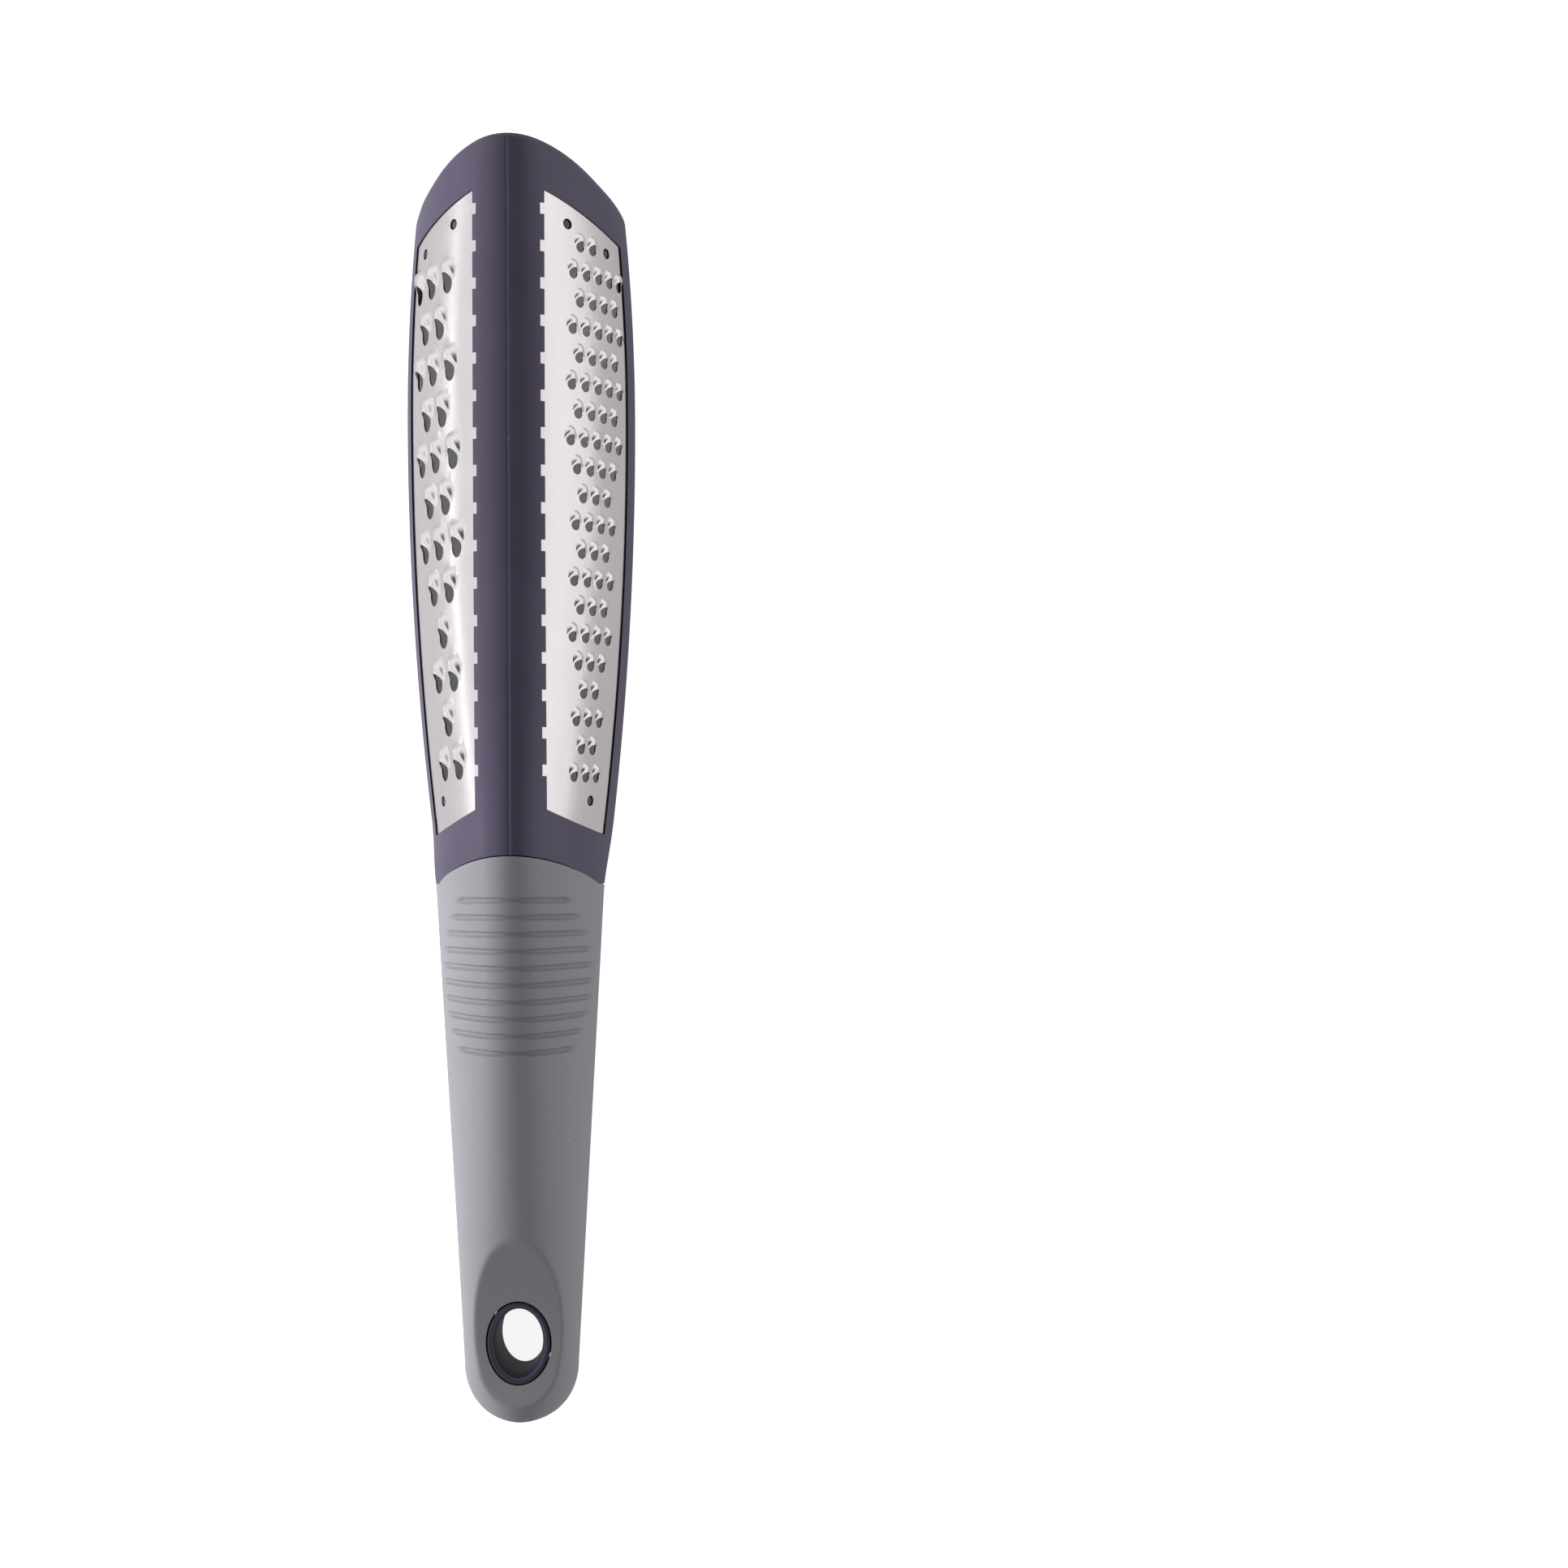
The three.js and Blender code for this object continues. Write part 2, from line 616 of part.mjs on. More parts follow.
const grater = new THREE.Group();
grater.add(piece("head_frame", headFrame(), 0x443e52, 0.45, 0));
grater.add(piece("coarse_plate", plate(-1, COARSE), 0xd8d8da, 0.2, 1));
grater.add(piece("fine_plate", plate(1, FINE), 0xd8d8da, 0.2, 1));
grater.add(piece("soft_grip", softGrip(), 0x807f85, 0.75, 0));
grater.add(piece("hang_eyelet", hangEyelet(), 0x2d2a3a, 0.4, 0));

export default grater;
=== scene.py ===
# %% [markdown]
# # A two-sided hand grater
# The grater lies on its open back: a dark arched moulding carries a coarse and a fine steel plate, and a
# soft grey grip ends in a hanging eyelet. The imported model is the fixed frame. Each of its five nodes is
# replaced here by a finer piece in the same place, because small curves decide how steel and satin
# plastic catch light.

# %% Load the frame
import math
from functools import partialmethod

import bmesh
import bpy
import numpy as np
from mathutils import Matrix, Vector


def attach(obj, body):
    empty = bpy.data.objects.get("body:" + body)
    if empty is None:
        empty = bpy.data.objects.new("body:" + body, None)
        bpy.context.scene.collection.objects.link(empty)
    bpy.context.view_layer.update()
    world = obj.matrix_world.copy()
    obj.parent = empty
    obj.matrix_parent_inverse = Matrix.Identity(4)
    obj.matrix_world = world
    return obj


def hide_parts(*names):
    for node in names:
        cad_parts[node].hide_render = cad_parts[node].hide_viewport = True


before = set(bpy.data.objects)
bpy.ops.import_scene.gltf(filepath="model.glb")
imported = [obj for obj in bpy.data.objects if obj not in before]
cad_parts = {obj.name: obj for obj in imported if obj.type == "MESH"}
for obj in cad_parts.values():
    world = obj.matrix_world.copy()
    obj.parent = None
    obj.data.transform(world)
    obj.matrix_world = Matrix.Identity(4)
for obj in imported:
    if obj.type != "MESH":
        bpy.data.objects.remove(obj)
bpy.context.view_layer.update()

print("nodes of the frame:", sorted(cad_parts))

# %% [markdown]
# ## The driving sizes
# All lengths below are millimetres, and meshes are scaled to metres as they are made. Y runs from the end
# of the grip to the nose and Z up from the table. These few sizes fix the outline, as they do in the CAD
# model.

# %% Sizes of the whole tool
MM = 0.001
NOSE = 143.0
TAIL = -143.0
JOINT = -14.5
RIDGE_HEIGHT = 26.5
HEAD_HALF_WIDTH = 26.1
SHOULDER_HALF_WIDTH = 24.5
NECK_HALF_WIDTH = 19.1
NOSE_RADIUS = 27.0
JOINT_RADIUS = 29.0
WIDEST = 84.0
SHOULDER = 123.0
CLEARANCE = 0.3
NECK_LENGTH = 14.0
JOINT_SIDE = JOINT - JOINT_RADIUS + math.sqrt(JOINT_RADIUS**2 - NECK_HALF_WIDTH**2)
NECK_TOP = JOINT_SIDE + NECK_LENGTH
RIM_ROUND = 1.1
GRIP_END_HALF_WIDTH = 12.9
GRIP_END_CENTRE = TAIL + GRIP_END_HALF_WIDTH
GRIP_END_HEIGHT = 15.5
GRIP_WAIST = 6.5
GRIP_FOOT_SHARE = 0.5
print("overall length in mm:", NOSE - TAIL)

# %% [markdown]
# ## One outline for head and grip
# The cross-section is an arch: a tight crown arc that runs on into a wide flank arc. It could be drawn by
# hand at each station, but a rule is better, because plates, seats and grip all have to follow the very
# same surface.

# %% The arch as shares of its half-width and height
CROWN_HALF_WIDTH = 8.0
CROWN_END = math.radians(34)
FLANK_END = math.radians(72)
CROWN_STEPS = 18
FLANK_STEPS = 24


def arch_shares():
    """Points from crown to rim as shares across and up."""
    crown_radius = CROWN_HALF_WIDTH / math.sin(CROWN_END)
    flank_radius = (HEAD_HALF_WIDTH - CROWN_HALF_WIDTH) / (math.sin(FLANK_END) - math.sin(CROWN_END))
    crown = np.linspace(0, CROWN_END, CROWN_STEPS + 1)
    flank = np.linspace(CROWN_END, FLANK_END, FLANK_STEPS + 1)[1:]
    across = crown_radius * np.sin(crown)
    drop = crown_radius * (1 - np.cos(crown))
    across = np.append(across, across[-1] + flank_radius * (np.sin(flank) - math.sin(CROWN_END)))
    drop = np.append(drop, drop[-1] + flank_radius * (math.cos(CROWN_END) - np.cos(flank)))
    return across / across[-1], 1 - drop / drop[-1]


ACROSS, UP = arch_shares()
QUARTER_TURN = np.linspace(math.pi / 2, 0, len(ACROSS))
print("points in half an arch:", len(ACROSS))

# %% Measures of the section at a station


def mix(a, b, share):
    return a + (b - a) * share


def smooth(x, low, high):
    t = np.clip((x - low) / (high - low), 0, 1)
    return t * t * (3 - 2 * t)


def soft_min(a, b, blend):
    """The smaller of two values, rounded off where they meet."""
    h = np.clip(0.5 + 0.5 * (b - a) / blend, 0, 1)
    return mix(b, a, h) - blend * h * (1 - h)


def head_half_width(y):
    narrow = np.where(y > WIDEST, SHOULDER_HALF_WIDTH, NECK_HALF_WIDTH)
    share = (y - WIDEST) / (np.where(y > WIDEST, SHOULDER, JOINT_SIDE) - WIDEST)
    return HEAD_HALF_WIDTH - (HEAD_HALF_WIDTH - narrow) * share**2


def measures(y):
    """Half-width, top, waist, share of the foot and share of the arch at a station."""
    along = np.clip((JOINT_SIDE - y) / (JOINT_SIDE - GRIP_END_CENTRE), 0, 1)
    neck = 1 - smooth(y, JOINT_SIDE, NECK_TOP)
    grip_width = mix(NECK_HALF_WIDTH, GRIP_END_HALF_WIDTH, along)
    width = np.where(y < JOINT_SIDE, grip_width, head_half_width(np.maximum(y, JOINT_SIDE)))
    top = mix(RIDGE_HEIGHT, GRIP_END_HEIGHT, np.clip((JOINT - y) / (JOINT - GRIP_END_CENTRE), 0, 1))
    waist = mix(RIM_ROUND, GRIP_WAIST, neck)
    foot = mix(1 - RIM_ROUND / width, GRIP_FOOT_SHARE, neck)
    return width, top, waist, foot, 1 - along


def arch_line(y, inset=0.0):
    """Right half of the head's arch at a station, crown to rim, moved inwards along its normals."""
    width, top, waist, _, _ = measures(y)
    x = width * ACROSS
    z = waist + (top - waist) * UP
    dx = np.gradient(x)
    dz = np.gradient(z)
    dz[0] = 0
    length = np.hypot(dx, dz)
    return x + dz / length * inset, z - dx / length * inset


def arch_height(x, y, inset):
    line_x, line_z = arch_line(y, inset)
    return np.interp(abs(x), line_x, line_z)


def joint_arc(x):
    """How far the curved joint between head and grip lies behind its foremost point."""
    return math.sqrt(JOINT_RADIUS**2 - min(abs(x), NECK_HALF_WIDTH) ** 2) - JOINT_RADIUS


def run_along(x, z):
    """Distance of each point of a line from its first point, along the line."""
    return np.concatenate([[0], np.cumsum(np.hypot(np.diff(x), np.diff(z)))])


print("half arch at the widest station in mm:", round(float(run_along(*arch_line(WIDEST))[-1]), 2))

# %% [markdown]
# ## Small mesh tools
# Most pieces are skins over rings of points. A closed skin can be joined and cut like a solid, so the
# boolean steps below work as a toolmaker's cutters do. The Manifold solver is fast and keeps every result
# watertight.

# %% Closed skins
WELD = 1e-4


def placed(name, data):
    """New object in the scene with the given data."""
    thing = bpy.data.objects.new(name, data)
    bpy.context.scene.collection.objects.link(thing)
    return thing


def closed_object(name, points, faces):
    """Object from points in millimetres with doubles welded and faces turned outwards."""
    mesh = bpy.data.meshes.new(name)
    made = bmesh.new()
    corners = [made.verts.new(np.asarray(p) * MM) for p in points]
    for face in faces:
        made.faces.new([corners[i] for i in face])
    bmesh.ops.remove_doubles(made, verts=made.verts, dist=WELD * MM)
    bmesh.ops.dissolve_degenerate(made, edges=made.edges, dist=WELD * MM)
    bmesh.ops.recalc_face_normals(made, faces=made.faces)
    open_edges = sum(not e.is_manifold for e in made.edges)
    if open_edges:
        print(name, "has open edges:", open_edges)
    for corner in [v for v in made.verts if not v.link_faces]:
        made.verts.remove(corner)
    made.to_mesh(mesh)
    made.free()
    return placed(name, mesh)


def grid_faces(rows, count, around):
    """Faces between rows of equally many points, which may go around."""
    faces = []
    for r in range(rows - 1):
        for i in range(count if around else count - 1):
            a = r * count + i
            b = r * count + (i + 1) % count
            faces.append((a, b, b + count, a + count))
    return faces


def skin(name, rings, cap_first=True, cap_last=True):
    """Skin over rings of equally many points, closed by a cap at each end."""
    rings = np.asarray(rings)
    count = rings.shape[1]
    faces = grid_faces(len(rings), count, around=True)
    if cap_first:
        faces.append(tuple(range(count)))
    if cap_last:
        faces.append(tuple(range((len(rings) - 1) * count, len(rings) * count)))
    return closed_object(name, rings.reshape(-1, 3), faces)


print("points closer than", WELD, "mm are welded")

# %% Cutting, joining and dressing
SMOOTH_ANGLE = math.radians(32)


def bake(piece):
    """The evaluated shape becomes the piece's own mesh, and its modifiers go."""
    evaluated = piece.evaluated_get(bpy.context.evaluated_depsgraph_get())
    mesh = bpy.data.meshes.new_from_object(evaluated)
    piece.modifiers.clear()
    old = piece.data
    piece.data = mesh
    bpy.data.meshes.remove(old)
    mesh.name = piece.name


def combine(piece, tool, operation):
    """Joins a tool to a piece or cuts it away, and removes the tool."""
    step = piece.modifiers.new("cutter", "BOOLEAN")
    step.operation = operation
    step.solver = "MANIFOLD"
    step.object = tool
    bake(piece)
    bpy.data.objects.remove(tool)


def dress(piece, material, node):
    """Last steps of a piece: smooth shading, material and its place in the frame."""
    piece.data.materials.clear()
    piece.data.materials.append(material)
    piece.data.shade_smooth()
    piece.data.set_sharp_from_angle(angle=SMOOTH_ANGLE)
    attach(piece, "root")
    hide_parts(node)
    piece.data.calc_loop_triangles()
    print(piece.name, "has", len(piece.data.loop_triangles), "triangles")


print("edges up to", round(math.degrees(SMOOTH_ANGLE)), "degrees are shaded smooth")

# %% [markdown]
# ## Finishes
# Satin plastic and soft rubber both keep the fine spark-eroded grain of their moulds and pick up dust and
# faint handling marks. One shader group makes that grain, and each material uses it with its own values.
# Steel has its own look: rolled sheet with faint lines along its length.

# %% Node helpers


def feed(tree, made, values):
    """Inputs of a node: a constant is set on the socket itself, a socket or a sum is linked to it."""
    for name, value in values.items():
        value = getattr(value, "socket", value)
        if isinstance(value, bpy.types.NodeSocket):
            tree.links.new(value, made.inputs[name])
        else:
            made.inputs[name].default_value = value


def node(tree, kind, values=None, **settings):
    """New node with its settings and inputs."""
    made = tree.nodes.new(kind)
    for name, value in settings.items():
        setattr(made, name, value)
    feed(tree, made, values or {})
    return made


class Sum:
    """A socket that can be reckoned with; each step adds one Math node to its tree."""

    def __init__(self, tree, socket):
        self.tree = tree
        self.socket = socket

    def step(self, operation, other=0.0, clamp=False):
        values = {0: self, 1: other}
        made = node(self.tree, "ShaderNodeMath", values, operation=operation, use_clamp=clamp)
        return Sum(self.tree, made.outputs[0])

    __add__ = partialmethod(step, "ADD")
    __sub__ = partialmethod(step, "SUBTRACT")
    __mul__ = partialmethod(step, "MULTIPLY")
    __truediv__ = partialmethod(step, "DIVIDE")


def parts(tree, vector):
    """X, Y and Z of a vector."""
    return [Sum(tree, part) for part in node(tree, "ShaderNodeSeparateXYZ", {0: vector}).outputs]


def noise(tree, vector, scale, detail):
    made = node(tree, "ShaderNodeTexNoise", {"Vector": vector, "Scale": scale, "Detail": detail})
    return Sum(tree, made.outputs["Fac"])


def blend(tree, factor, a, b):
    """Mix of two colours."""
    made = node(tree, "ShaderNodeMix", {"Factor": factor, "A": a, "B": b}, data_type="RGBA")
    return made.outputs["Result"]


def bump(tree, height, strength, depth):
    """Normals of a low relief."""
    made = node(tree, "ShaderNodeBump", {"Height": height, "Strength": strength, "Distance": depth})
    return made.outputs["Normal"]


def new_material(name):
    """Material with its node tree and its main shader."""
    material = bpy.data.materials.new(name)
    material.use_nodes = True
    tree = material.node_tree
    return material, tree, tree.nodes["Principled BSDF"]


print("shader helpers are ready")

# %% The shared grain of moulded surfaces
GRAIN_DETAIL = 3.0
CLOUD_SCALE = 38.0
CLOUD_DETAIL = 4.0
CLOUD_MIDDLE = 0.5
DUST_SCALE = 900.0
DUST_DETAIL = 1.0
DUST_LEVEL = 0.76
DUST_CONTRAST = 12.0


def moulded_grain():
    """Group: grain height, uneven roughness and sparse dust on a moulded surface."""
    tree = bpy.data.node_groups.new("moulded_grain", "ShaderNodeTree")
    for name in ("Grain Scale", "Base Roughness", "Roughness Change", "Dust"):
        tree.interface.new_socket(name, in_out="INPUT", socket_type="NodeSocketFloat")
    for name in ("Height", "Roughness", "Dust Mask", "Tone"):
        tree.interface.new_socket(name, in_out="OUTPUT", socket_type="NodeSocketFloat")
    given = node(tree, "NodeGroupInput").outputs
    place = node(tree, "ShaderNodeTexCoord").outputs["Object"]
    grain = noise(tree, place, given["Grain Scale"], GRAIN_DETAIL)
    cloud = noise(tree, place, CLOUD_SCALE, CLOUD_DETAIL)
    speck = noise(tree, place, DUST_SCALE, DUST_DETAIL)
    dust = speck.step("SUBTRACT", DUST_LEVEL, clamp=True).step("MULTIPLY", DUST_CONTRAST, clamp=True)
    uneven = (cloud - CLOUD_MIDDLE) * given["Roughness Change"]
    node(tree, "NodeGroupOutput", {
        "Height": grain,
        "Roughness": uneven.step("ADD", given["Base Roughness"], clamp=True),
        "Dust Mask": dust.step("MULTIPLY", given["Dust"], clamp=True),
        "Tone": cloud,
    })
    return tree


GRAIN = moulded_grain()
print("shader group:", GRAIN.name)

# %% Moulded materials
GRAIN_DEPTH = 0.05 * MM


def moulded(name, colour, worn, dusty, roughness, change, grain_scale, relief, dust):
    """Moulded plastic or rubber with grain, cloudy tone, uneven gloss and a little dust."""
    material, tree, shader = new_material(name)
    grain = node(tree, "ShaderNodeGroup", {
        "Grain Scale": grain_scale,
        "Base Roughness": roughness,
        "Roughness Change": change,
        "Dust": dust,
    }, node_tree=GRAIN).outputs
    tone = blend(tree, grain["Tone"], (*colour, 1), (*worn, 1))
    feed(tree, shader, {
        "Base Color": blend(tree, grain["Dust Mask"], tone, (*dusty, 1)),
        "Roughness": grain["Roughness"],
        "Normal": bump(tree, grain["Height"], relief, GRAIN_DEPTH),
    })
    return material


DARK_PLASTIC = moulded(
    "satin_dark_plastic",
    colour=(0.052, 0.042, 0.075), worn=(0.066, 0.055, 0.093), dusty=(0.3, 0.3, 0.32),
    roughness=0.42, change=0.12, grain_scale=2600.0, relief=0.35, dust=0.3,
)
GREY_RUBBER = moulded(
    "soft_grey_rubber",
    colour=(0.215, 0.211, 0.232), worn=(0.24, 0.236, 0.258), dusty=(0.5, 0.5, 0.52),
    roughness=0.7, change=0.14, grain_scale=1700.0, relief=0.55, dust=0.6,
)
EYELET_PLASTIC = moulded(
    "glossy_dark_plastic",
    colour=(0.024, 0.021, 0.039), worn=(0.03, 0.027, 0.047), dusty=(0.2, 0.2, 0.22),
    roughness=0.45, change=0.1, grain_scale=2600.0, relief=0.25, dust=0.3,
)
print("moulded materials:", DARK_PLASTIC.name, GREY_RUBBER.name, EYELET_PLASTIC.name)

# %% [markdown]
# Bright rolled steel is nearly a mirror, but its reflections are drawn out by faint rolling lines. Noise
# that is squeezed across the sheet and stretched along it gives those lines, in the gloss and in a very
# low bump.

# %% Rolled steel
ROLLED_STRETCH = (2600.0, 60.0, 2600.0)
LINE_DETAIL = 2.0
LINE_RELIEF = 0.12
LINE_DEPTH = 0.01 * MM
STEEL_CLOUD_SCALE = 70.0
STEEL_TONE = (0.79, 0.745, 0.767, 1)
STEEL_BRIGHT_TONE = (0.9, 0.86, 0.876, 1)
STEEL_ROUGHNESS = 0.1
STEEL_CHANGE = 0.14


def rolled_steel():
    material, tree, shader = new_material("rolled_steel")
    place = node(tree, "ShaderNodeTexCoord").outputs["Object"]
    stretched = node(tree, "ShaderNodeMapping", {"Vector": place, "Scale": ROLLED_STRETCH})
    lines = noise(tree, stretched.outputs["Vector"], 1.0, LINE_DETAIL)
    cloud = noise(tree, place, STEEL_CLOUD_SCALE, CLOUD_DETAIL)
    feed(tree, shader, {
        "Metallic": 1.0,
        "Base Color": blend(tree, cloud, STEEL_TONE, STEEL_BRIGHT_TONE),
        "Roughness": (lines + cloud) * STEEL_CHANGE + STEEL_ROUGHNESS,
        "Normal": bump(tree, lines, LINE_RELIEF, LINE_DEPTH),
    })
    return material


STEEL = rolled_steel()
print("metal:", STEEL.name)

# %% [markdown]
# ## The moulded head
# The head is one dark moulding: an arched shell with a round nose, open below. Its outside is a skin over
# rings; the rings follow the nose circle in front and the curved joint behind. A fine parting line of the
# mould runs along the ridge. Toolmaker's cutters then hollow it and sink the seats of the plates.

# %% Outline of the nose
NOSE_CENTRE = NOSE - NOSE_RADIUS
NOSE_TURN = math.radians(39)
NOSE_FROM = 117.0
NECK_ROWS = 14
BODY_ROWS = 70
NOSE_ROWS = 44


def nose_half_width(y, radius):
    """Half-width inside the nose: a round tip that runs on in straight tangents."""
    ahead = y - NOSE_CENTRE
    if ahead > radius * math.cos(NOSE_TURN):
        return math.sqrt(max(radius**2 - ahead**2, 0))
    return (radius - ahead * math.cos(NOSE_TURN)) / math.sin(NOSE_TURN)


def inside_nose(x, y):
    """Distance from a point to the outline of the nose."""
    turn = min(math.atan2(x, max(y - NOSE_CENTRE, 0)), NOSE_TURN)
    return NOSE_RADIUS - x * math.sin(turn) - (y - NOSE_CENTRE) * math.cos(turn)


def head_rows():
    """Stations from the joint to the nose, close together where the outline turns."""
    neck = np.linspace(JOINT, NECK_TOP, NECK_ROWS)
    body = np.linspace(NECK_TOP, NOSE_FROM, BODY_ROWS)[1:]
    start = math.asin((NOSE_FROM - NOSE_CENTRE) / NOSE_RADIUS)
    nose = NOSE_CENTRE + NOSE_RADIUS * np.sin(np.linspace(start, math.pi / 2, NOSE_ROWS))[1:]
    return np.concatenate([neck, body, nose])


print("stations of the head:", len(head_rows()))

# %% Outside of the head
NOSE_ROUND = 1.3
NOSE_ROUND_SHARE = 0.7
CORNER_BLEND = 3.2
WARP_TOP = 22.0
PARTING_HALF_WIDTH = 0.22
PARTING_DEPTH = 0.13
PARTING_FADE = 4.0
RIM_COLUMNS = np.array([0.012, 0.006])
LOWER_STEPS = 7
WALL_STEPS = 5


def ring_from_half(half):
    """Full ring from its right half, listed from crown to foot."""
    half = np.asarray(half)
    left = half[:0:-1] * (-1, 1, 1)
    return np.concatenate([half, left])


def column_shares():
    """Shares across the head: those of the arch, with two more for the parting line and a finer rim."""
    line = PARTING_HALF_WIDTH / HEAD_HALF_WIDTH
    return np.sort(np.concatenate([ACROSS, [line / 2, line], 1 - RIM_COLUMNS]))


COLUMNS = column_shares()


def head_half_ring(station):
    """Right half of the outside at a station: arch, nose wall and rounded rim."""
    behind = 1 - smooth(station, JOINT, WARP_TOP)
    full = float(head_half_width(station))
    limit = float(soft_min(full, nose_half_width(station, NOSE_RADIUS), CORNER_BLEND))
    limit = min(max(limit, 0), nose_half_width(station, NOSE_RADIUS))
    edge_height = arch_height(limit, station, 0)
    rim_height = float(measures(station)[2])
    roundness = min(NOSE_ROUND, NOSE_ROUND_SHARE * max(edge_height - rim_height, 0))
    half = []
    for share in COLUMNS:
        x = limit * share
        y = station + behind * joint_arc(x)
        if behind > 0:
            x = float(measures(y)[0]) * share
        z = arch_height(x, y, 0)
        inside = min(limit - x, inside_nose(x, y))
        if inside < roundness:
            z -= roundness - math.sqrt(max(roundness**2 - (roundness - inside) ** 2, 0))
        z -= PARTING_DEPTH * max(1 - abs(x) / PARTING_HALF_WIDTH, 0) * smooth(limit, 0, PARTING_FADE)
        half.append((x, y, z))
    x, y, z = half[-1]
    _, _, waist, foot, _ = measures(y)
    half += [(x, y, mix(z, waist, i / WALL_STEPS)) for i in range(1, WALL_STEPS)]
    for turn in np.linspace(0, math.pi / 2, LOWER_STEPS + 1):
        half.append((x * mix(foot, 1, math.cos(turn)), y, waist * (1 - math.sin(turn))))
    return half


head = skin("head_frame_moulding", [ring_from_half(head_half_ring(y)) for y in head_rows()], cap_last=False)
print("outside of the head:", len(head.data.polygons), "faces")

# %% [markdown]
# ## The open channel
# Underneath, the head is a trough that catches what is grated. Its cutter is the same arch moved inwards
# by the wall thickness, closed by a bulkhead at the neck and by the wall of the nose.

# %% Hollow the head
WALL = 2.8
CHANNEL_END = JOINT + 9.0
CHANNEL_ROWS = 56
CHANNEL_TIP_ROWS = 26
CHANNEL_TIP_TURNS = (0.1, math.pi / 2 - 0.02)
CHANNEL_TIP_GAP = 1.0
OVERRUN = 5.0
BELOW = -OVERRUN
ABOVE = RIDGE_HEIGHT + OVERRUN


def channel_half_ring(y):
    line_x, line_z = arch_line(y, WALL)
    limit = min(line_x[-1], nose_half_width(y, NOSE_RADIUS - WALL))
    half = [(limit * s, y, np.interp(limit * s, line_x, line_z)) for s in ACROSS]
    return half + [(limit, y, BELOW)]


def channel_rows():
    turns = np.linspace(*CHANNEL_TIP_TURNS, CHANNEL_TIP_ROWS)
    tip = NOSE_CENTRE + (NOSE_RADIUS - WALL) * np.sin(turns)
    return np.concatenate([np.linspace(CHANNEL_END, tip[0] - CHANNEL_TIP_GAP, CHANNEL_ROWS), tip])


combine(head, skin("channel", [ring_from_half(channel_half_ring(y)) for y in channel_rows()]), "DIFFERENCE")
print("hollow head:", len(head.data.polygons), "faces")

# %% [markdown]
# ## Plans of the plates and their seats
# Each plate is a curved sheet with slanted ends and a row of small tabs along the ridge that tuck into
# slots. A grid of plan points is laid over that outline and dropped onto the arch at any depth, so one
# function makes the steel itself, the recess that takes it and, without tabs, the window behind its
# teeth.

# %% Grid over a plate's outline
PLATE_TOP = NOSE - 12.0
PLATE_BOTTOM = JOINT + 9.8
PLATE_INNER = 7.9
PLATE_RIM_MARGIN = 1.45
PLATE_SLANT = 0.53
SLANT_PASSES = 6
PLATE_BULGE = 1.2
BULGE_REACH = 12.0
TAB_PITCH = 8.2
TAB_LENGTH = 2.5
TAB_REACH = 0.85
PLATE_COLUMNS = 22
ROW_STEP = 2.1


def tab_edges(grow):
    """Upper and lower edge of each tab along the ridge."""
    count = int((PLATE_TOP - PLATE_BOTTOM - TAB_LENGTH) // TAB_PITCH)
    centres = PLATE_TOP - (np.arange(count) + 0.5) * TAB_PITCH
    half = TAB_LENGTH / 2 + grow
    return np.stack([centres - half, centres + half], axis=1)


def row_stations(low, high, marks):
    """Row places between two ends that include every mark."""
    stops = np.unique(np.round(np.concatenate([[low, high], marks]), 4))
    rows = [np.linspace(a, b, max(int((b - a) / ROW_STEP), 1) + 1)[:-1] for a, b in zip(stops, stops[1:])]
    return np.append(np.concatenate(rows), high)


def plate_plan(grow):
    """Plan points of a plate grown by an allowance, and which cells of the grid are sheet."""
    tabs = tab_edges(grow)
    rows = row_stations(PLATE_BOTTOM - grow, PLATE_TOP + grow, tabs.ravel())
    inner = PLATE_INNER - grow
    plan = np.zeros((len(rows), PLATE_COLUMNS + 2, 2))
    for r, station in enumerate(rows):
        bulge = PLATE_BULGE * smooth(station, PLATE_TOP - BULGE_REACH, PLATE_TOP)
        outer = HEAD_HALF_WIDTH
        for _ in range(SLANT_PASSES):
            rim_station = station - PLATE_SLANT * (outer - PLATE_INNER)
            outer = float(head_half_width(rim_station)) - PLATE_RIM_MARGIN + grow
        share = np.linspace(0, 1, PLATE_COLUMNS + 1)
        x = mix(inner, outer, share)
        plan[r, 1:, 0] = x
        plan[r, 1:, 1] = station - PLATE_SLANT * (x - PLATE_INNER) + 2 * bulge * share * (1 - share)
        plan[r, 0] = (inner - TAB_REACH, station)
    plan[:, 1, 1] = rows
    cells = np.ones((len(rows) - 1, PLATE_COLUMNS + 1), bool)
    middles = (rows[1:] + rows[:-1]) / 2
    cells[:, 0] = ((middles[:, None] > tabs[:, 0]) & (middles[:, None] < tabs[:, 1])).any(axis=1)
    return plan, cells


print("tabs on each plate:", len(tab_edges(0)))

# %% Closed sheet over a grid


def slab(name, plan, cells, side, top_of, bottom_of):
    """Closed sheet over the cells of a plan grid, between two height rules."""
    rows, columns = plan.shape[:2]
    flat = plan.reshape(-1, 2)
    top = [(side * x, y, top_of(x, y)) for x, y in flat]
    bottom = [(side * x, y, bottom_of(x, y)) for x, y in flat]
    faces = []
    borders = {}
    for r, c in np.argwhere(cells):
        corner = [r * columns + c, r * columns + c + 1, (r + 1) * columns + c + 1, (r + 1) * columns + c]
        faces.append(tuple(corner))
        faces.append(tuple(i + len(top) for i in reversed(corner)))
        for a, b in zip(corner, corner[1:] + corner[:1]):
            if borders.pop((b, a), None) is None:
                borders[(a, b)] = True
    faces += [(b, a, a + len(top), b + len(top)) for a, b in borders]
    return closed_object(name, top + bottom, faces)


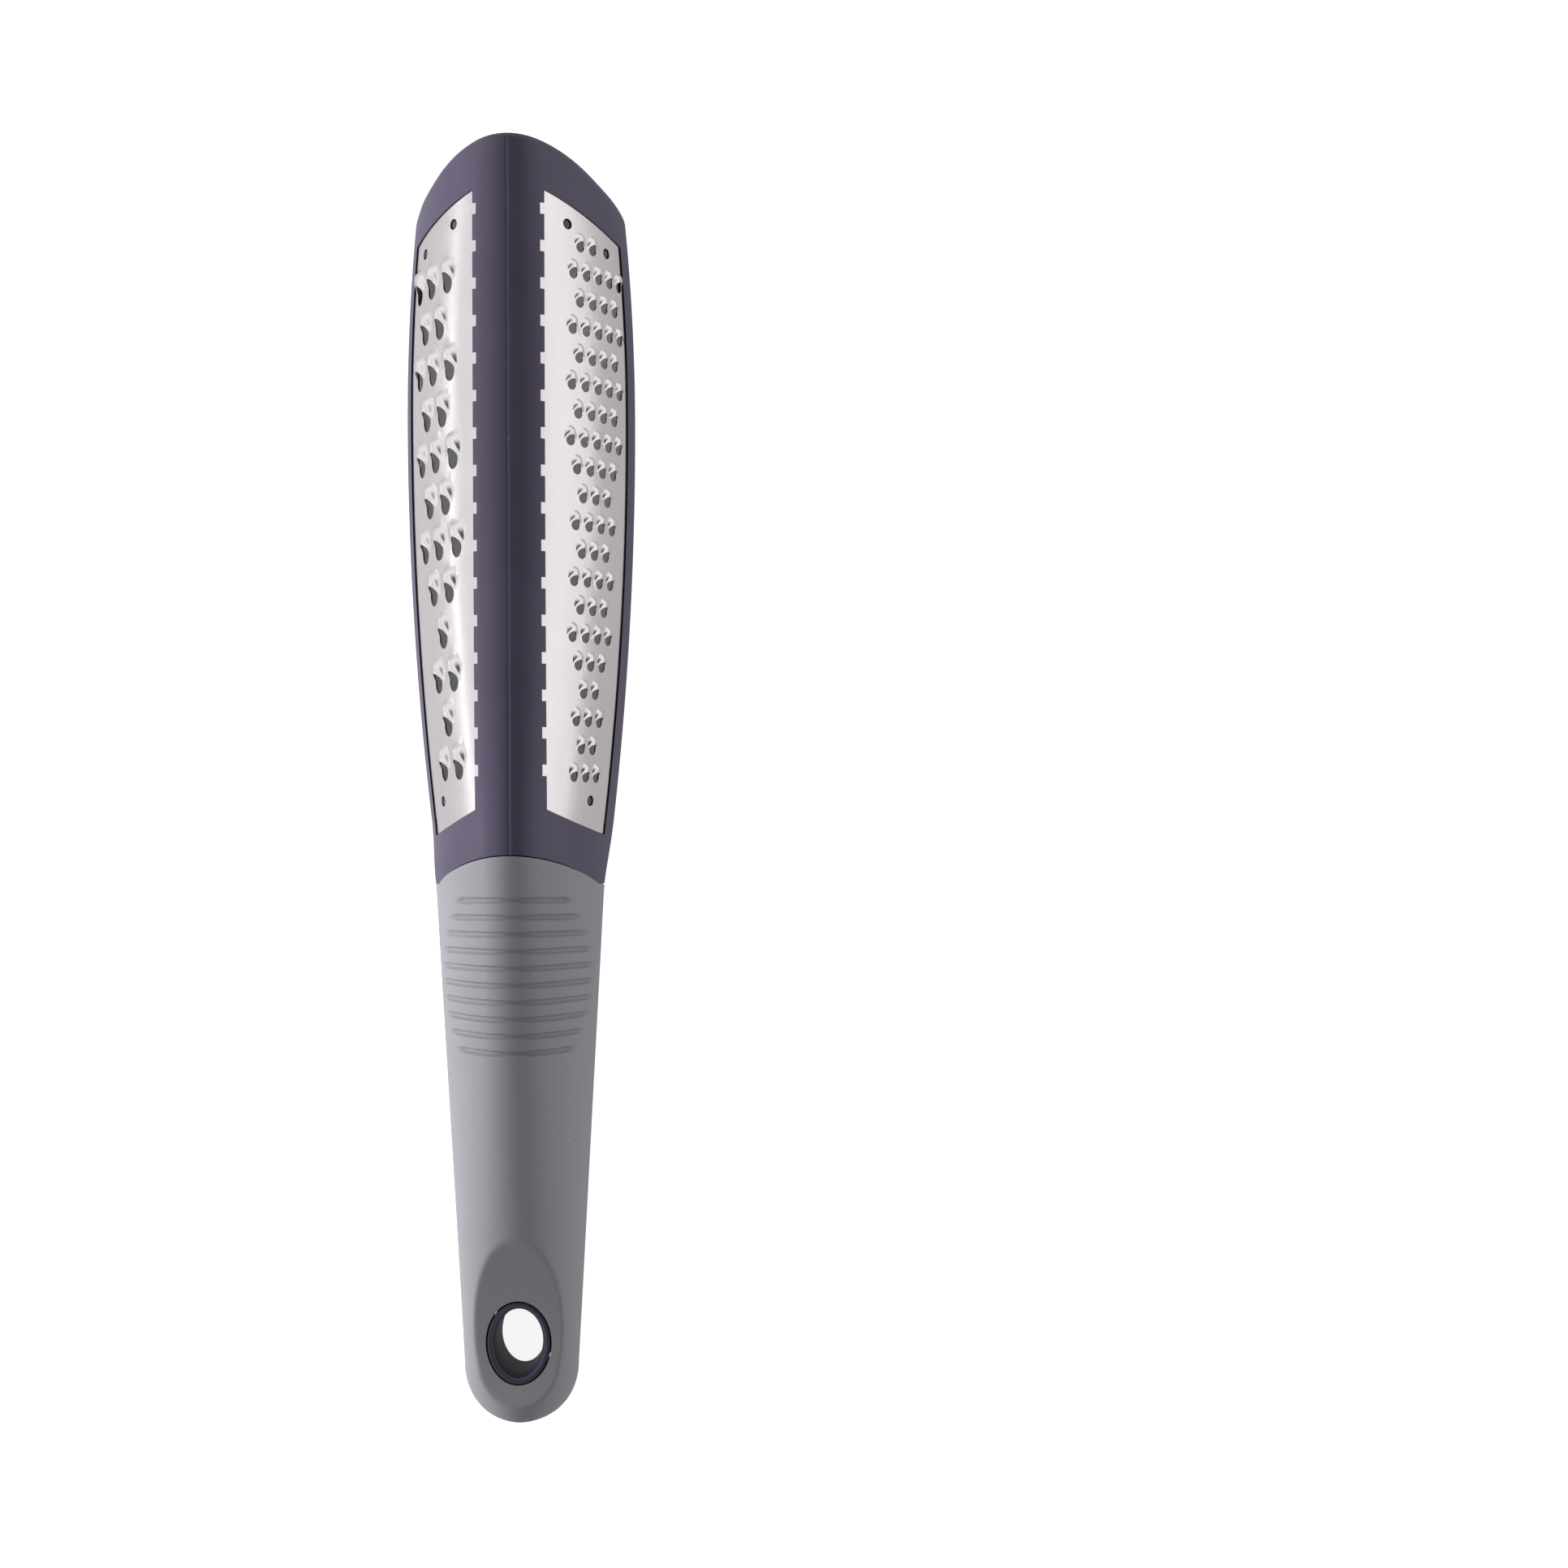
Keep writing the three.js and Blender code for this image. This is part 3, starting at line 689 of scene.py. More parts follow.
print("cells in the grid of a plate:", plate_plan(0)[1].sum())

# %% Places on the arch for stakes
TURNED_SIDES = 24


def on_arch(side, y, arc):
    """Matrix of a place at a distance from the ridge along the arch, Z outwards and Y to the nose."""
    x, z = arch_line(y)
    run = run_along(x, z)
    at = Vector((side * np.interp(arc, run, x), y, np.interp(arc, run, z)))
    slope = math.atan2(-np.interp(arc, run, np.gradient(z)), np.interp(arc, run, np.gradient(x)))
    turn = Matrix.Rotation(side * slope, 4, "Y")
    return Matrix.Translation(at) @ turn


def turned(name, profile, place):
    """Closed turned body from a profile of radius and height, at a place on the arch."""
    angles = np.linspace(0, 2 * math.pi, TURNED_SIDES, endpoint=False)
    rings = []
    for radius, height in profile:
        ring = [place @ Vector((radius * math.cos(a), radius * math.sin(a), height)) for a in angles]
        rings.append([tuple(p) for p in ring])
    return skin(name, rings)


STAKE_RADIUS = 0.9
STAKE_PAD_RADIUS = 1.8
STAKE_PAD_DEPTH = 2.0
STAKES = [
    {"arc": 14.8, "y": PLATE_TOP - 6.5},
    {"arc": 27.2, "y": PLATE_TOP - 10.8},
    {"arc": 22.8, "y": PLATE_BOTTOM + 1.8},
]


def stake_places(side):
    return [on_arch(side, stake["y"], stake["arc"]) for stake in STAKES]


print("stakes on each side:", len(STAKES))

# %% [markdown]
# ## Seats, windows and stakes
# A shallow recess lets each plate lie flush, and a window behind its teeth lets the gratings fall
# through. Three stakes on each side stand in holes of the plate, as heat-formed stakes do. Each ends in a
# low dome a little below the face of the steel, and a pad left standing in the window carries it.

# %% Cut the seats into the head
PLATE_RECESS = 0.25
SEAT_GAP = 0.06
PLATE_THICKNESS = 0.4
SEAT_DEPTH = PLATE_RECESS + PLATE_THICKNESS + CLEARANCE
SEAT_OVERRUN = 2.0
LEDGE = 1.2
RIDGE_LEDGE = 2.3
TOP_LEDGE = 8.3
BOTTOM_LEDGE = 5.0
WINDOW_ROWS = 40
STAKE_DOME = 0.28
STAKE_TOP = -0.42
DOME_STEPS = 5
DOME_TIP = 0.05


def window_plan():
    """Plan grid of the opening behind a plate."""
    rows = np.linspace(PLATE_BOTTOM + BOTTOM_LEDGE, PLATE_TOP - TOP_LEDGE, WINDOW_ROWS)
    outer = head_half_width(rows) - PLATE_RIM_MARGIN - LEDGE
    inner = np.full_like(outer, PLATE_INNER + RIDGE_LEDGE)
    plan = np.stack([np.stack([inner, rows], 1), np.stack([outer, rows], 1)], 1)
    return plan, np.ones((len(rows) - 1, 1), bool)


def at_depth(depth):
    """Height rule of the arch moved inwards by a depth."""
    return lambda x, y: arch_height(x, y, depth)


def above_arch(x, y):
    return arch_height(x, y, 0) + SEAT_OVERRUN


def stake_profile():
    """Straight stem that ends in a low dome."""
    profile = [(STAKE_RADIUS, CLEARANCE - STAKE_PAD_DEPTH), (STAKE_RADIUS, STAKE_TOP - STAKE_DOME)]
    for turn in np.linspace(0, math.pi / 2, DOME_STEPS)[1:]:
        radius = max(STAKE_RADIUS * math.cos(turn), DOME_TIP)
        profile.append((radius, STAKE_TOP - STAKE_DOME * (1 - math.sin(turn))))
    return profile


def cut_seat(side):
    places = stake_places(side)
    window = slab("window", *window_plan(), side, lambda x, y: ABOVE, lambda x, y: BELOW)
    for place in places:
        pad = [(STAKE_PAD_RADIUS, -STAKE_PAD_DEPTH), (STAKE_PAD_RADIUS, OVERRUN)]
        combine(window, turned("pad", pad, place), "DIFFERENCE")
    recess = slab("recess", *plate_plan(SEAT_GAP), side, above_arch, at_depth(SEAT_DEPTH))
    combine(head, recess, "DIFFERENCE")
    combine(head, window, "DIFFERENCE")
    for place in places:
        combine(head, turned("stake", stake_profile(), place), "UNION")


cut_seat(-1)
cut_seat(1)
print("head with its seats:", len(head.data.polygons), "faces")

# %% [markdown]
# ## The grip
# The grip is a soft sleeve moulded over a tang of the head. Both are the same lofted handle at different
# depths, so one function makes them: an arch at the joint that softens to an oval, a rounded end, and a
# flat scoop.

# %% The handle at any depth
SCOOP_RADIUS = 58.0
SCOOP_LOW = TAIL + 18.0
SCOOP_FLOOR = 12.8
SCOOP_BLEND = 0.3
GRIP_WARP_LOW = -62.0
END_STEPS = 30
END_TIP_TURN = 0.02
END_FULLNESS = 0.85


def scoop_height(y, inset=0.0):
    """Underside of the large round bar that cuts the scoop."""
    drop = (SCOOP_RADIUS + inset) ** 2 - (y - SCOOP_LOW) ** 2
    return SCOOP_FLOOR + SCOOP_RADIUS - math.sqrt(max(drop, 0))


def handle_half_ring(station, end_turn, inset, joint):
    """Right half of the handle at a station, or at a turn of its rounded end."""
    half = []
    shrink = math.sin(end_turn) ** END_FULLNESS
    soft = math.sqrt(math.sin(end_turn))
    ahead = smooth(station, GRIP_WARP_LOW, joint)
    for i, turn in enumerate(QUARTER_TURN):
        y = station
        for _ in range(2):
            width, top, waist, foot, roof = (float(v) for v in measures(y))
            x = (width - inset) * shrink * mix(math.cos(turn), ACROSS[i], roof)
            y = station + ahead * joint_arc(x)
        ceiling = mix(waist, top - inset, soft)
        z = mix(waist, ceiling, mix(math.sin(turn), UP[i], roof))
        half.append((x, y, float(soft_min(z, scoop_height(y, inset), SCOOP_BLEND))))
    floor = mix(waist, inset, soft)
    wide = (width - inset) * shrink
    for turn in np.linspace(0, math.pi / 2, LOWER_STEPS + 1)[1:]:
        half.append((wide * mix(foot, 1, math.cos(turn)), y, mix(waist, floor, math.sin(turn))))
    half[0] = (0.0, half[0][1], half[0][2])
    return half


def handle(name, inset, joint, rows):
    radius = GRIP_END_HALF_WIDTH - inset
    turns = np.linspace(END_TIP_TURN, math.pi / 2, END_STEPS)[:-1]
    rings = [handle_half_ring(GRIP_END_CENTRE - radius * math.cos(t), t, inset, joint) for t in turns]
    rings += [handle_half_ring(y, math.pi / 2, inset, joint) for y in rows]
    return skin(name, [ring_from_half(half) for half in rings])


print("rings in the rounded end of the handle:", END_STEPS - 1)

# %% [markdown]
# ## Thumb grooves
# The thumb rests on ten shallow grooves whose ends form a lens. They could be cut one by one, but they
# follow a rule, so a Geometry Nodes tree finds the nearest groove of each point of the grip and presses
# the point inwards. Such a tree has named inputs with first values, and it ends in real geometry with its
# material.

# %% Geometry Nodes tools
NUMBER_KINDS = {int: "Int", float: "Float"}


def new_tree(name, sizes):
    """Geometry Nodes tree with a named input for each size, given as its first value or else its kind."""
    tree = bpy.data.node_groups.new(name, "GeometryNodeTree")
    tree.interface.new_socket("Geometry", in_out="INPUT", socket_type="NodeSocketGeometry")
    tree.interface.new_socket("Geometry", in_out="OUTPUT", socket_type="NodeSocketGeometry")
    for size, value in sizes.items():
        kind = NUMBER_KINDS.get(type(value), value)
        made = tree.interface.new_socket(size, in_out="INPUT", socket_type=f"NodeSocket{kind}")
        if kind != value:
            made.default_value = value
    given = node(tree, "NodeGroupInput").outputs
    return tree, {socket.name: Sum(tree, socket) for socket in given}


def set_inputs(step, tree, values):
    """Values of a modifier's inputs, set by each socket's identifier."""
    names = {s.name: s.identifier for s in tree.interface.items_tree if s.in_out == "INPUT"}
    for name, value in values.items():
        step[names[name]] = value


def finish_tree(tree, geometry, material):
    """Every tree ends in real geometry with its material."""
    real = node(tree, "GeometryNodeRealizeInstances", {"Geometry": geometry}).outputs["Geometry"]
    paint = node(tree, "GeometryNodeSetMaterial", {"Geometry": real, "Material": material})
    node(tree, "NodeGroupOutput", {"Geometry": paint.outputs["Geometry"]})


print("helpers for Geometry Nodes are ready")

# %% Thumb grooves as a field
GROOVE_SIZES = {
    "Count": 10,
    "First": (JOINT - 10.7) * MM,
    "Pitch": 3.61 * MM,
    "Width": 1.35 * MM,
    "Depth": 0.8 * MM,
    "Half Length": 17.2 * MM,
    "Lens Drop": 4.2 * MM,
    "Bow": 0.7 * MM,
    "End Fade": 1.4 * MM,
    "Rubber": "Material",
}
UPPER_SIDE_CONTRAST = 4


def groove_tree():
    tree, given = new_tree("thumb_grooves", GROOVE_SIZES)
    x, y, _ = parts(tree, node(tree, "GeometryNodeInputPosition").outputs["Position"])
    normal = node(tree, "GeometryNodeInputNormal").outputs["Normal"]
    last = given["Count"] - 1
    nearest = ((given["First"] - y) / given["Pitch"]).step("ROUND").step("MAXIMUM", 0).step("MINIMUM", last)
    from_middle = nearest * 2 / last - 1
    reach = given["Half Length"] - given["Lens Drop"] * (from_middle * from_middle)
    out = x / given["Half Length"]
    bow = given["Bow"] * from_middle * (out * out * -1 + 1)
    centre = given["First"] - (nearest * given["Pitch"] + bow)
    away = (y - centre) / (given["Width"] * 0.5)
    bowl = (away * away * -1).step("ADD", 1, clamp=True)
    ends = (reach - x.step("ABSOLUTE")).step("DIVIDE", given["End Fade"], clamp=True)
    upper = parts(tree, normal)[2].step("MULTIPLY", UPPER_SIDE_CONTRAST, clamp=True)
    press = bowl * ends * upper * (given["Depth"] * -1)
    push = node(tree, "ShaderNodeVectorMath", {0: normal, "Scale": press}, operation="SCALE").outputs[0]
    move = node(tree, "GeometryNodeSetPosition", {"Geometry": given["Geometry"], "Offset": push})
    finish_tree(tree, move.outputs["Geometry"], given["Rubber"])
    return tree


GROOVES = groove_tree()
print("tree:", GROOVES.name, "with", len(GROOVES.nodes), "nodes")

# %% [markdown]
# ## The sleeve and the tang inside it
# The sleeve has many rows of points where the grooves are and few elsewhere. A core cut out of it leaves
# an even soft wall, and the tang of the head, a little smaller, fills that core. One oval hole runs
# through both.

# %% Sleeve with its grooves
GROOVE_ZONE = (JOINT - 47.0, JOINT - 6.0)
GRIP_JOINT = JOINT - CLEARANCE
SCOOP_TOP = TAIL + 44.0
SCOOP_ROWS = 56
PLAIN_ROWS = 24
GROOVE_ROWS = 215
JOINT_ROWS = 12


def grip_rows():
    """Stations from the rounded end to the joint."""
    scoop = np.linspace(GRIP_END_CENTRE, SCOOP_TOP, SCOOP_ROWS)
    plain = np.linspace(SCOOP_TOP, GROOVE_ZONE[0], PLAIN_ROWS)[1:]
    grooves = np.linspace(*GROOVE_ZONE, GROOVE_ROWS)[1:]
    joint = np.linspace(GROOVE_ZONE[1], GRIP_JOINT, JOINT_ROWS)[1:]
    return np.concatenate([scoop, plain, grooves, joint])


grip = handle("soft_grip_sleeve", 0.0, GRIP_JOINT, grip_rows())
press = grip.modifiers.new("thumb_grooves", "NODES")
press.node_group = GROOVES
set_inputs(press, GROOVES, {"Rubber": GREY_RUBBER})
bake(grip)
print("sleeve with grooves:", len(grip.data.polygons), "faces")

# %% Core, tang and hanging hole
GRIP_SKIN = 2.7
TANG_TOP = JOINT + 4.0
CORE_ROWS = 30
EYELET = TAIL + 18.8
EYELET_HALF_WIDTH = 7.1
EYELET_HALF_LENGTH = 9.2
HOLE_SIDES = 72


def hanging_hole():
    """Oval prism through the whole grip with a clearance round the eyelet."""
    half_width = EYELET_HALF_WIDTH + CLEARANCE
    half_length = EYELET_HALF_LENGTH + CLEARANCE
    angles = np.linspace(0, 2 * math.pi, HOLE_SIDES, endpoint=False)
    plan = [(half_width * math.cos(a), EYELET + half_length * math.sin(a)) for a in angles]
    return skin("hole", [[(x, y, z) for x, y in plan] for z in (BELOW, ABOVE)])


core_rows = np.linspace(GRIP_END_CENTRE, TANG_TOP, CORE_ROWS)
combine(grip, handle("core", GRIP_SKIN, TANG_TOP, core_rows), "DIFFERENCE")
combine(grip, hanging_hole(), "DIFFERENCE")
tang = handle("tang", GRIP_SKIN + CLEARANCE, TANG_TOP, core_rows)
combine(tang, hanging_hole(), "DIFFERENCE")
combine(head, tang, "UNION")
dress(head, DARK_PLASTIC, "head_frame")
dress(grip, GREY_RUBBER, "soft_grip")

# %% [markdown]
# ## The hanging eyelet
# A dark bush lines the hanging hole. Its top follows the slanted scoop and its bore opens in a soft
# funnel, so it is a profile swept round an oval, with the height of each ring taken from the scoop under
# it.

# %% Eyelet swept round its oval
EYELET_FOOT = 0.3
# Each step is an inset from the oval, then a height above the foot or else a depth below the scoop.
EYELET_PROFILE = [
    (0.35, 0.0, None), (0.0, 0.35, None), (0.0, None, 0.4), (0.12, None, 0.12), (0.4, None, 0.0),
    (0.85, None, 0.0), (1.15, None, 0.1), (1.4, None, 0.4), (1.7, None, 1.3), (1.95, None, 3.0),
    (2.05, None, 5.0), (2.05, 1.2, None), (1.9, 0.4, None), (1.6, 0.0, None),
]
EYELET_SIDES = 96


def eyelet_ring(inset, above_foot, below_top):
    ring = []
    for a in np.linspace(0, 2 * math.pi, EYELET_SIDES, endpoint=False):
        x = (EYELET_HALF_WIDTH - inset) * math.cos(a)
        y = EYELET + (EYELET_HALF_LENGTH - inset) * math.sin(a)
        z = EYELET_FOOT + above_foot if below_top is None else scoop_height(y) - below_top
        ring.append((x, y, z))
    return ring


eyelet_rings = [eyelet_ring(*step) for step in EYELET_PROFILE]
bush = skin("hang_eyelet_bush", eyelet_rings + eyelet_rings[:1], cap_first=False, cap_last=False)
dress(bush, EYELET_PLASTIC, "hang_eyelet")

# %% [markdown]
# ## Punched teeth
# Each tooth is an oval hole whose nose-side edge is drawn up into a lip that cuts. The teeth are laid out
# flat, as on the punching tool: rows and columns slightly turned, every second row half a column over. A
# guide surface with a flat UV map carries that layout onto the arch through Sample UV Surface, and each
# zone of the pattern is one use of the same Geometry Nodes tree.

# %% Guide surface with a flat layout
GUIDE_WIDTH = 38.0
GUIDE_LOW = -20.0
GUIDE_LENGTH = 160.0
GUIDE_ROWS = 60
LAYOUT_MAP = "flat_layout"


def guide(side):
    """Right or left half of the arch at the depth of the plates, mapped by its distance from the ridge."""
    points = []
    flat = []
    for y in np.linspace(GUIDE_LOW, GUIDE_LOW + GUIDE_LENGTH, GUIDE_ROWS):
        x, z = arch_line(y, PLATE_RECESS)
        points += [(side * a * MM, y * MM, b * MM) for a, b in zip(x, z)]
        flat += [(a / GUIDE_WIDTH, (y - GUIDE_LOW) / GUIDE_LENGTH) for a in run_along(x, z)]
    faces = [face[::side] for face in grid_faces(GUIDE_ROWS, len(ACROSS), around=False)]
    mesh = bpy.data.meshes.new("guide")
    mesh.from_pydata(points, [], faces)
    layer = mesh.uv_layers.new(name=LAYOUT_MAP)
    for loop in mesh.loops:
        layer.data[loop.index].uv = flat[loop.vertex_index]
    return placed("guide", mesh)


print("points of each guide:", GUIDE_ROWS * len(ACROSS))

# %% Lip and hollow of one tooth
LIP_CREST = 0.5
LIP_ROLL = 0.9
LIP_START = -0.1
LIP_SINK = 0.13
LIP_WALL = 0.34
SPREAD_POWER = 3.5
HEIGHT_POWER = 1.8


def hole_point(tooth, turn):
    """Point of the oval hole, which has its nose end at the origin."""
    x = tooth["half_width"] * math.sin(turn)
    y = tooth["half_length"] * (math.cos(turn) - 1)
    return np.array([x, y])


def lip_profile(share):
    """Height of the lip from the edge of the hole out to its foot: rolled over at the edge, then falling."""
    if share < LIP_CREST:
        return 1 - (1 - LIP_ROLL) * (1 - share / LIP_CREST) ** 2
    return 0.5 + 0.5 * math.cos(math.pi * (share - LIP_CREST) / (1 - LIP_CREST))


def lip_rings(tooth, start, wall):
    """Rings of the drawn-up lip, highest at the nose end of the hole and flat on the handle's side of it."""
    turns = np.linspace(0, 2 * math.pi, tooth["around"], endpoint=False)
    rings = []
    for share in np.linspace(start, 1, tooth["rings"]):
        ring = []
        for turn in turns:
            lift = max(math.cos(turn), 0)
            spread = mix(tooth["side"], tooth["reach"], lift**SPREAD_POWER) - wall
            x, y = hole_point(tooth, turn) + share * spread * np.array([math.sin(turn), math.cos(turn)])
            z = tooth["height"] * lift**HEIGHT_POWER * lip_profile(share)
            ring.append((x, y, z - LIP_SINK - wall))
        rings.append(ring)
    return rings


def levelled(ring, z):
    return [(x, y, z) for x, y, _ in ring]


def lip(tooth):
    """Solid lip, standing a little into the sheet."""
    rings = lip_rings(tooth, LIP_START, 0)
    return skin("lip", rings + [levelled(rings[-1], -PLATE_THICKNESS / 2)])


def hollow(tooth):
    """The oval hole from above, widening under the lip, and down through the sheet."""
    rings = lip_rings(tooth, 0, LIP_WALL)
    top = levelled(rings[0], 2 * tooth["height"])
    return skin("hollow", [top] + rings + [levelled(rings[-1], -2 * PLATE_THICKNESS)])


print("a lip is full at", LIP_CREST, "of the way from the hole to its foot")

# %% [markdown]
# One tree punches a zone of rows. It counts out points, finds the place of each in the flat layout, moves
# it onto the guide, stands a lip and a hollow there, joins all the lips to the sheet and cuts all the
# hollows out.

# %% Places of the teeth as fields
TOOTH_SIZES = {
    "Guide": "Object",
    "Lip": "Object",
    "Hollow": "Object",
    "Start Row": 0,
    "Rows": 1,
    "Columns": 1,
    "From Column": 0.0,
    "To Column": 1.0,
    "Row Pitch": 0.01,
    "Column Pitch": 0.01,
    "First Row": 0.0,
    "First Arc": 0.0,
    "Tilt": 0.0,
    "Half Over": 0,
    "Guide Width": GUIDE_WIDTH * MM,
    "Guide Low": GUIDE_LOW * MM,
    "Guide Length": GUIDE_LENGTH * MM,
    "Steel": "Material",
}


def tooth_layout(tree, given):
    """Column of each tooth and its place in the flat layout, as fields."""
    index = Sum(tree, node(tree, "GeometryNodeInputIndex").outputs["Index"])
    row_here = (index / given["Columns"]).step("FLOOR")
    row = row_here + given["Start Row"]
    over = (row + given["Half Over"]).step("MODULO", 2)
    column = index - row_here * given["Columns"] + over * 0.5
    across = column * given["Column Pitch"]
    down = row * given["Row Pitch"]
    cosine = given["Tilt"].step("COSINE")
    sine = given["Tilt"].step("SINE")
    arc = given["First Arc"] + across * cosine - down * sine
    along = given["First Row"] - down * cosine - across * sine
    flat = node(tree, "ShaderNodeCombineXYZ", {
        "X": arc / given["Guide Width"],
        "Y": (along - given["Guide Low"]) / given["Guide Length"],
    })
    return column, flat.outputs["Vector"]


def on_guide(tree, surface, value, flat):
    """A value of the guide surface at a place of the flat layout."""
    layout = node(tree, "GeometryNodeInputNamedAttribute", {"Name": LAYOUT_MAP}, data_type="FLOAT_VECTOR")
    values = {"Mesh": surface, "Value": value, "UV Map": layout.outputs["Attribute"], "Sample UV": flat}
    return node(tree, "GeometryNodeSampleUVSurface", values, data_type="FLOAT_VECTOR").outputs["Value"]


print("inputs of the tree:", len(TOOTH_SIZES))

# %% The tree that punches one zone of teeth
COLUMN_MARGIN = 0.25


def scattered(tree, points, chosen, turn, shape):
    """One shape on every chosen point, as real geometry."""
    info = node(tree, "GeometryNodeObjectInfo", {"Object": shape})
    place = node(tree, "GeometryNodeInstanceOnPoints", {
        "Points": points,
        "Selection": chosen,
        "Instance": info.outputs["Geometry"],
        "Rotation": turn,
    })
    real = node(tree, "GeometryNodeRealizeInstances", {"Geometry": place.outputs["Instances"]})
    return real.outputs["Geometry"]


def upright(tree, out):
    """Rotation that stands a shape on a surface, with its front to the nose."""
    standing = node(tree, "FunctionNodeAlignRotationToVector", {"Vector": out}, axis="Z")
    values = {"Rotation": standing.outputs["Rotation"], "Vector": (0, 1, 0)}
    facing = node(tree, "FunctionNodeAlignRotationToVector", values, axis="Y", pivot_axis="Z")
    return facing.outputs["Rotation"]


def tooth_tree():
    tree, given = new_tree("punched_teeth", TOOTH_SIZES)
    surface = node(tree, "GeometryNodeObjectInfo", {"Object": given["Guide"]}).outputs["Geometry"]
    column, flat = tooth_layout(tree, given)
    spot = on_guide(tree, surface, node(tree, "GeometryNodeInputPosition").outputs["Position"], flat)
    out = on_guide(tree, surface, node(tree, "GeometryNodeInputNormal").outputs["Normal"], flat)
    values = {"Count": given["Rows"] * given["Columns"], "Position": spot}
    points = node(tree, "GeometryNodePoints", values).outputs[0]
    low = column.step("GREATER_THAN", given["From Column"] - COLUMN_MARGIN)
    chosen = low * column.step("LESS_THAN", given["To Column"] + COLUMN_MARGIN)
    turn = upright(tree, out)
    lips = scattered(tree, points, chosen, turn, given["Lip"])
    hollows = scattered(tree, points, chosen, turn, given["Hollow"])
    raised = node(tree, "GeometryNodeMeshBoolean", operation="UNION", solver="MANIFOLD")
    for solid in (given["Geometry"], lips):
        feed(tree, raised, {"Mesh 2": solid})
    opened = node(tree, "GeometryNodeMeshBoolean", operation="DIFFERENCE", solver="MANIFOLD")
    feed(tree, opened, {"Mesh 1": raised.outputs["Mesh"], "Mesh 2": hollows})
    finish_tree(tree, opened.outputs["Mesh"], given["Steel"])
    return tree


TEETH = tooth_tree()
print("tree:", TEETH.name, "with", len(TEETH.nodes), "nodes")

# %% [markdown]
# ## The steel plates
# The coarse plate has large teeth for shreds, the fine plate rows of small ones. Both are thin sheets
# pressed to the arch, held by the stakes and by tabs along the ridge. A zone is a number of rows that
# share their first and last column.

# %% Patterns of the teeth
COARSE_LAYOUT = {
    "Tilt": math.radians(2.85),
    "First Arc": 16.5 * MM,
    "First Row": (PLATE_TOP - 17.0) * MM,
    "Row Pitch": 9.78 * MM,
    "Column Pitch": 6.4 * MM,
    "Half Over": 0,
}
COARSE_ZONES = [(8, 0.0, 2.0), (4, 0.5, 1.5)]
COARSE_TOOTH = {
    "half_width": 1.6, "half_length": 2.25, "height": 1.5, "reach": 4.2, "side": 1.25,
    "around": 28, "rings": 9,
}
FINE_LAYOUT = {
    "Tilt": math.radians(1.7),
    "First Arc": 16.2 * MM,
    "First Row": (PLATE_TOP - 9.8) * MM,
    "Row Pitch": 6.18 * MM,
    "Column Pitch": 3.88 * MM,
    "Half Over": 1,
}
FINE_ZONES = [(1, 0.5, 1.5), (8, 0.0, 4.0), (7, 0.5, 3.5), (4, 1.0, 3.0)]
FINE_TOOTH = {
    "half_width": 1.15, "half_length": 1.2, "height": 1.0, "reach": 2.3, "side": 0.75,
    "around": 20, "rings": 7,
}
print("rows of teeth:", sum(zone[0] for zone in COARSE_ZONES), "and", sum(zone[0] for zone in FINE_ZONES))

# %% Sheets with their teeth


def sheet(name, side):
    """The bare sheet with the holes for its stakes."""
    top = at_depth(PLATE_RECESS)
    bottom = at_depth(PLATE_RECESS + PLATE_THICKNESS)
    plate = slab(name, *plate_plan(0), side, top, bottom)
    drill = [(STAKE_RADIUS + CLEARANCE, -OVERRUN), (STAKE_RADIUS + CLEARANCE, OVERRUN)]
    for place in stake_places(side):
        combine(plate, turned("drill", drill, place), "DIFFERENCE")
    return plate


def grating_plate(name, side, layout, zones, tooth, cad_node):
    plate = sheet(name, side)
    helpers = {"Guide": guide(side), "Lip": lip(tooth), "Hollow": hollow(tooth)}
    start = 0
    for rows, first, last in zones:
        step = plate.modifiers.new("teeth", "NODES")
        step.node_group = TEETH
        span = {"Columns": int(last) + 1, "From Column": first, "To Column": last}
        zone = {"Start Row": start, "Rows": rows, "Steel": STEEL}
        set_inputs(step, TEETH, {**helpers, **layout, **span, **zone})
        start += rows
    bake(plate)
    for helper in helpers.values():
        bpy.data.objects.remove(helper)
    dress(plate, STEEL, cad_node)


grating_plate("coarse_grating_plate", -1, COARSE_LAYOUT, COARSE_ZONES, COARSE_TOOTH, "coarse_plate")
grating_plate("fine_grating_plate", 1, FINE_LAYOUT, FINE_ZONES, FINE_TOOTH, "fine_plate")

# %% [markdown]
# ## The table
# The grater lies on a white table. The table adds light of its own for the camera and, weaker, for
# reflections, which makes it white and keeps only a trace of shadow. A mask takes most of that light away
# under the open back of the head, so the holes of the plates look into shade.

# %% White table
FLOOR_HALF = 4.0
FLOOR_COLOUR = (0.8, 0.8, 0.8, 1)
FLOOR_ROUGHNESS = 0.9
FLOOR_GLOW = 0.86
MIRRORED_GLOW = 0.25
SHADE_HALF_WIDTH = 23.0 * MM
SHADE_NECK_HALF_WIDTH = 16.5 * MM
SHADE_TAPER = 0.14
SHADE_ENDS = (-8.0 * MM, 128.0 * MM)
SHADE_EDGE = 1.0 * MM
SHADE_GLOW = 0.11


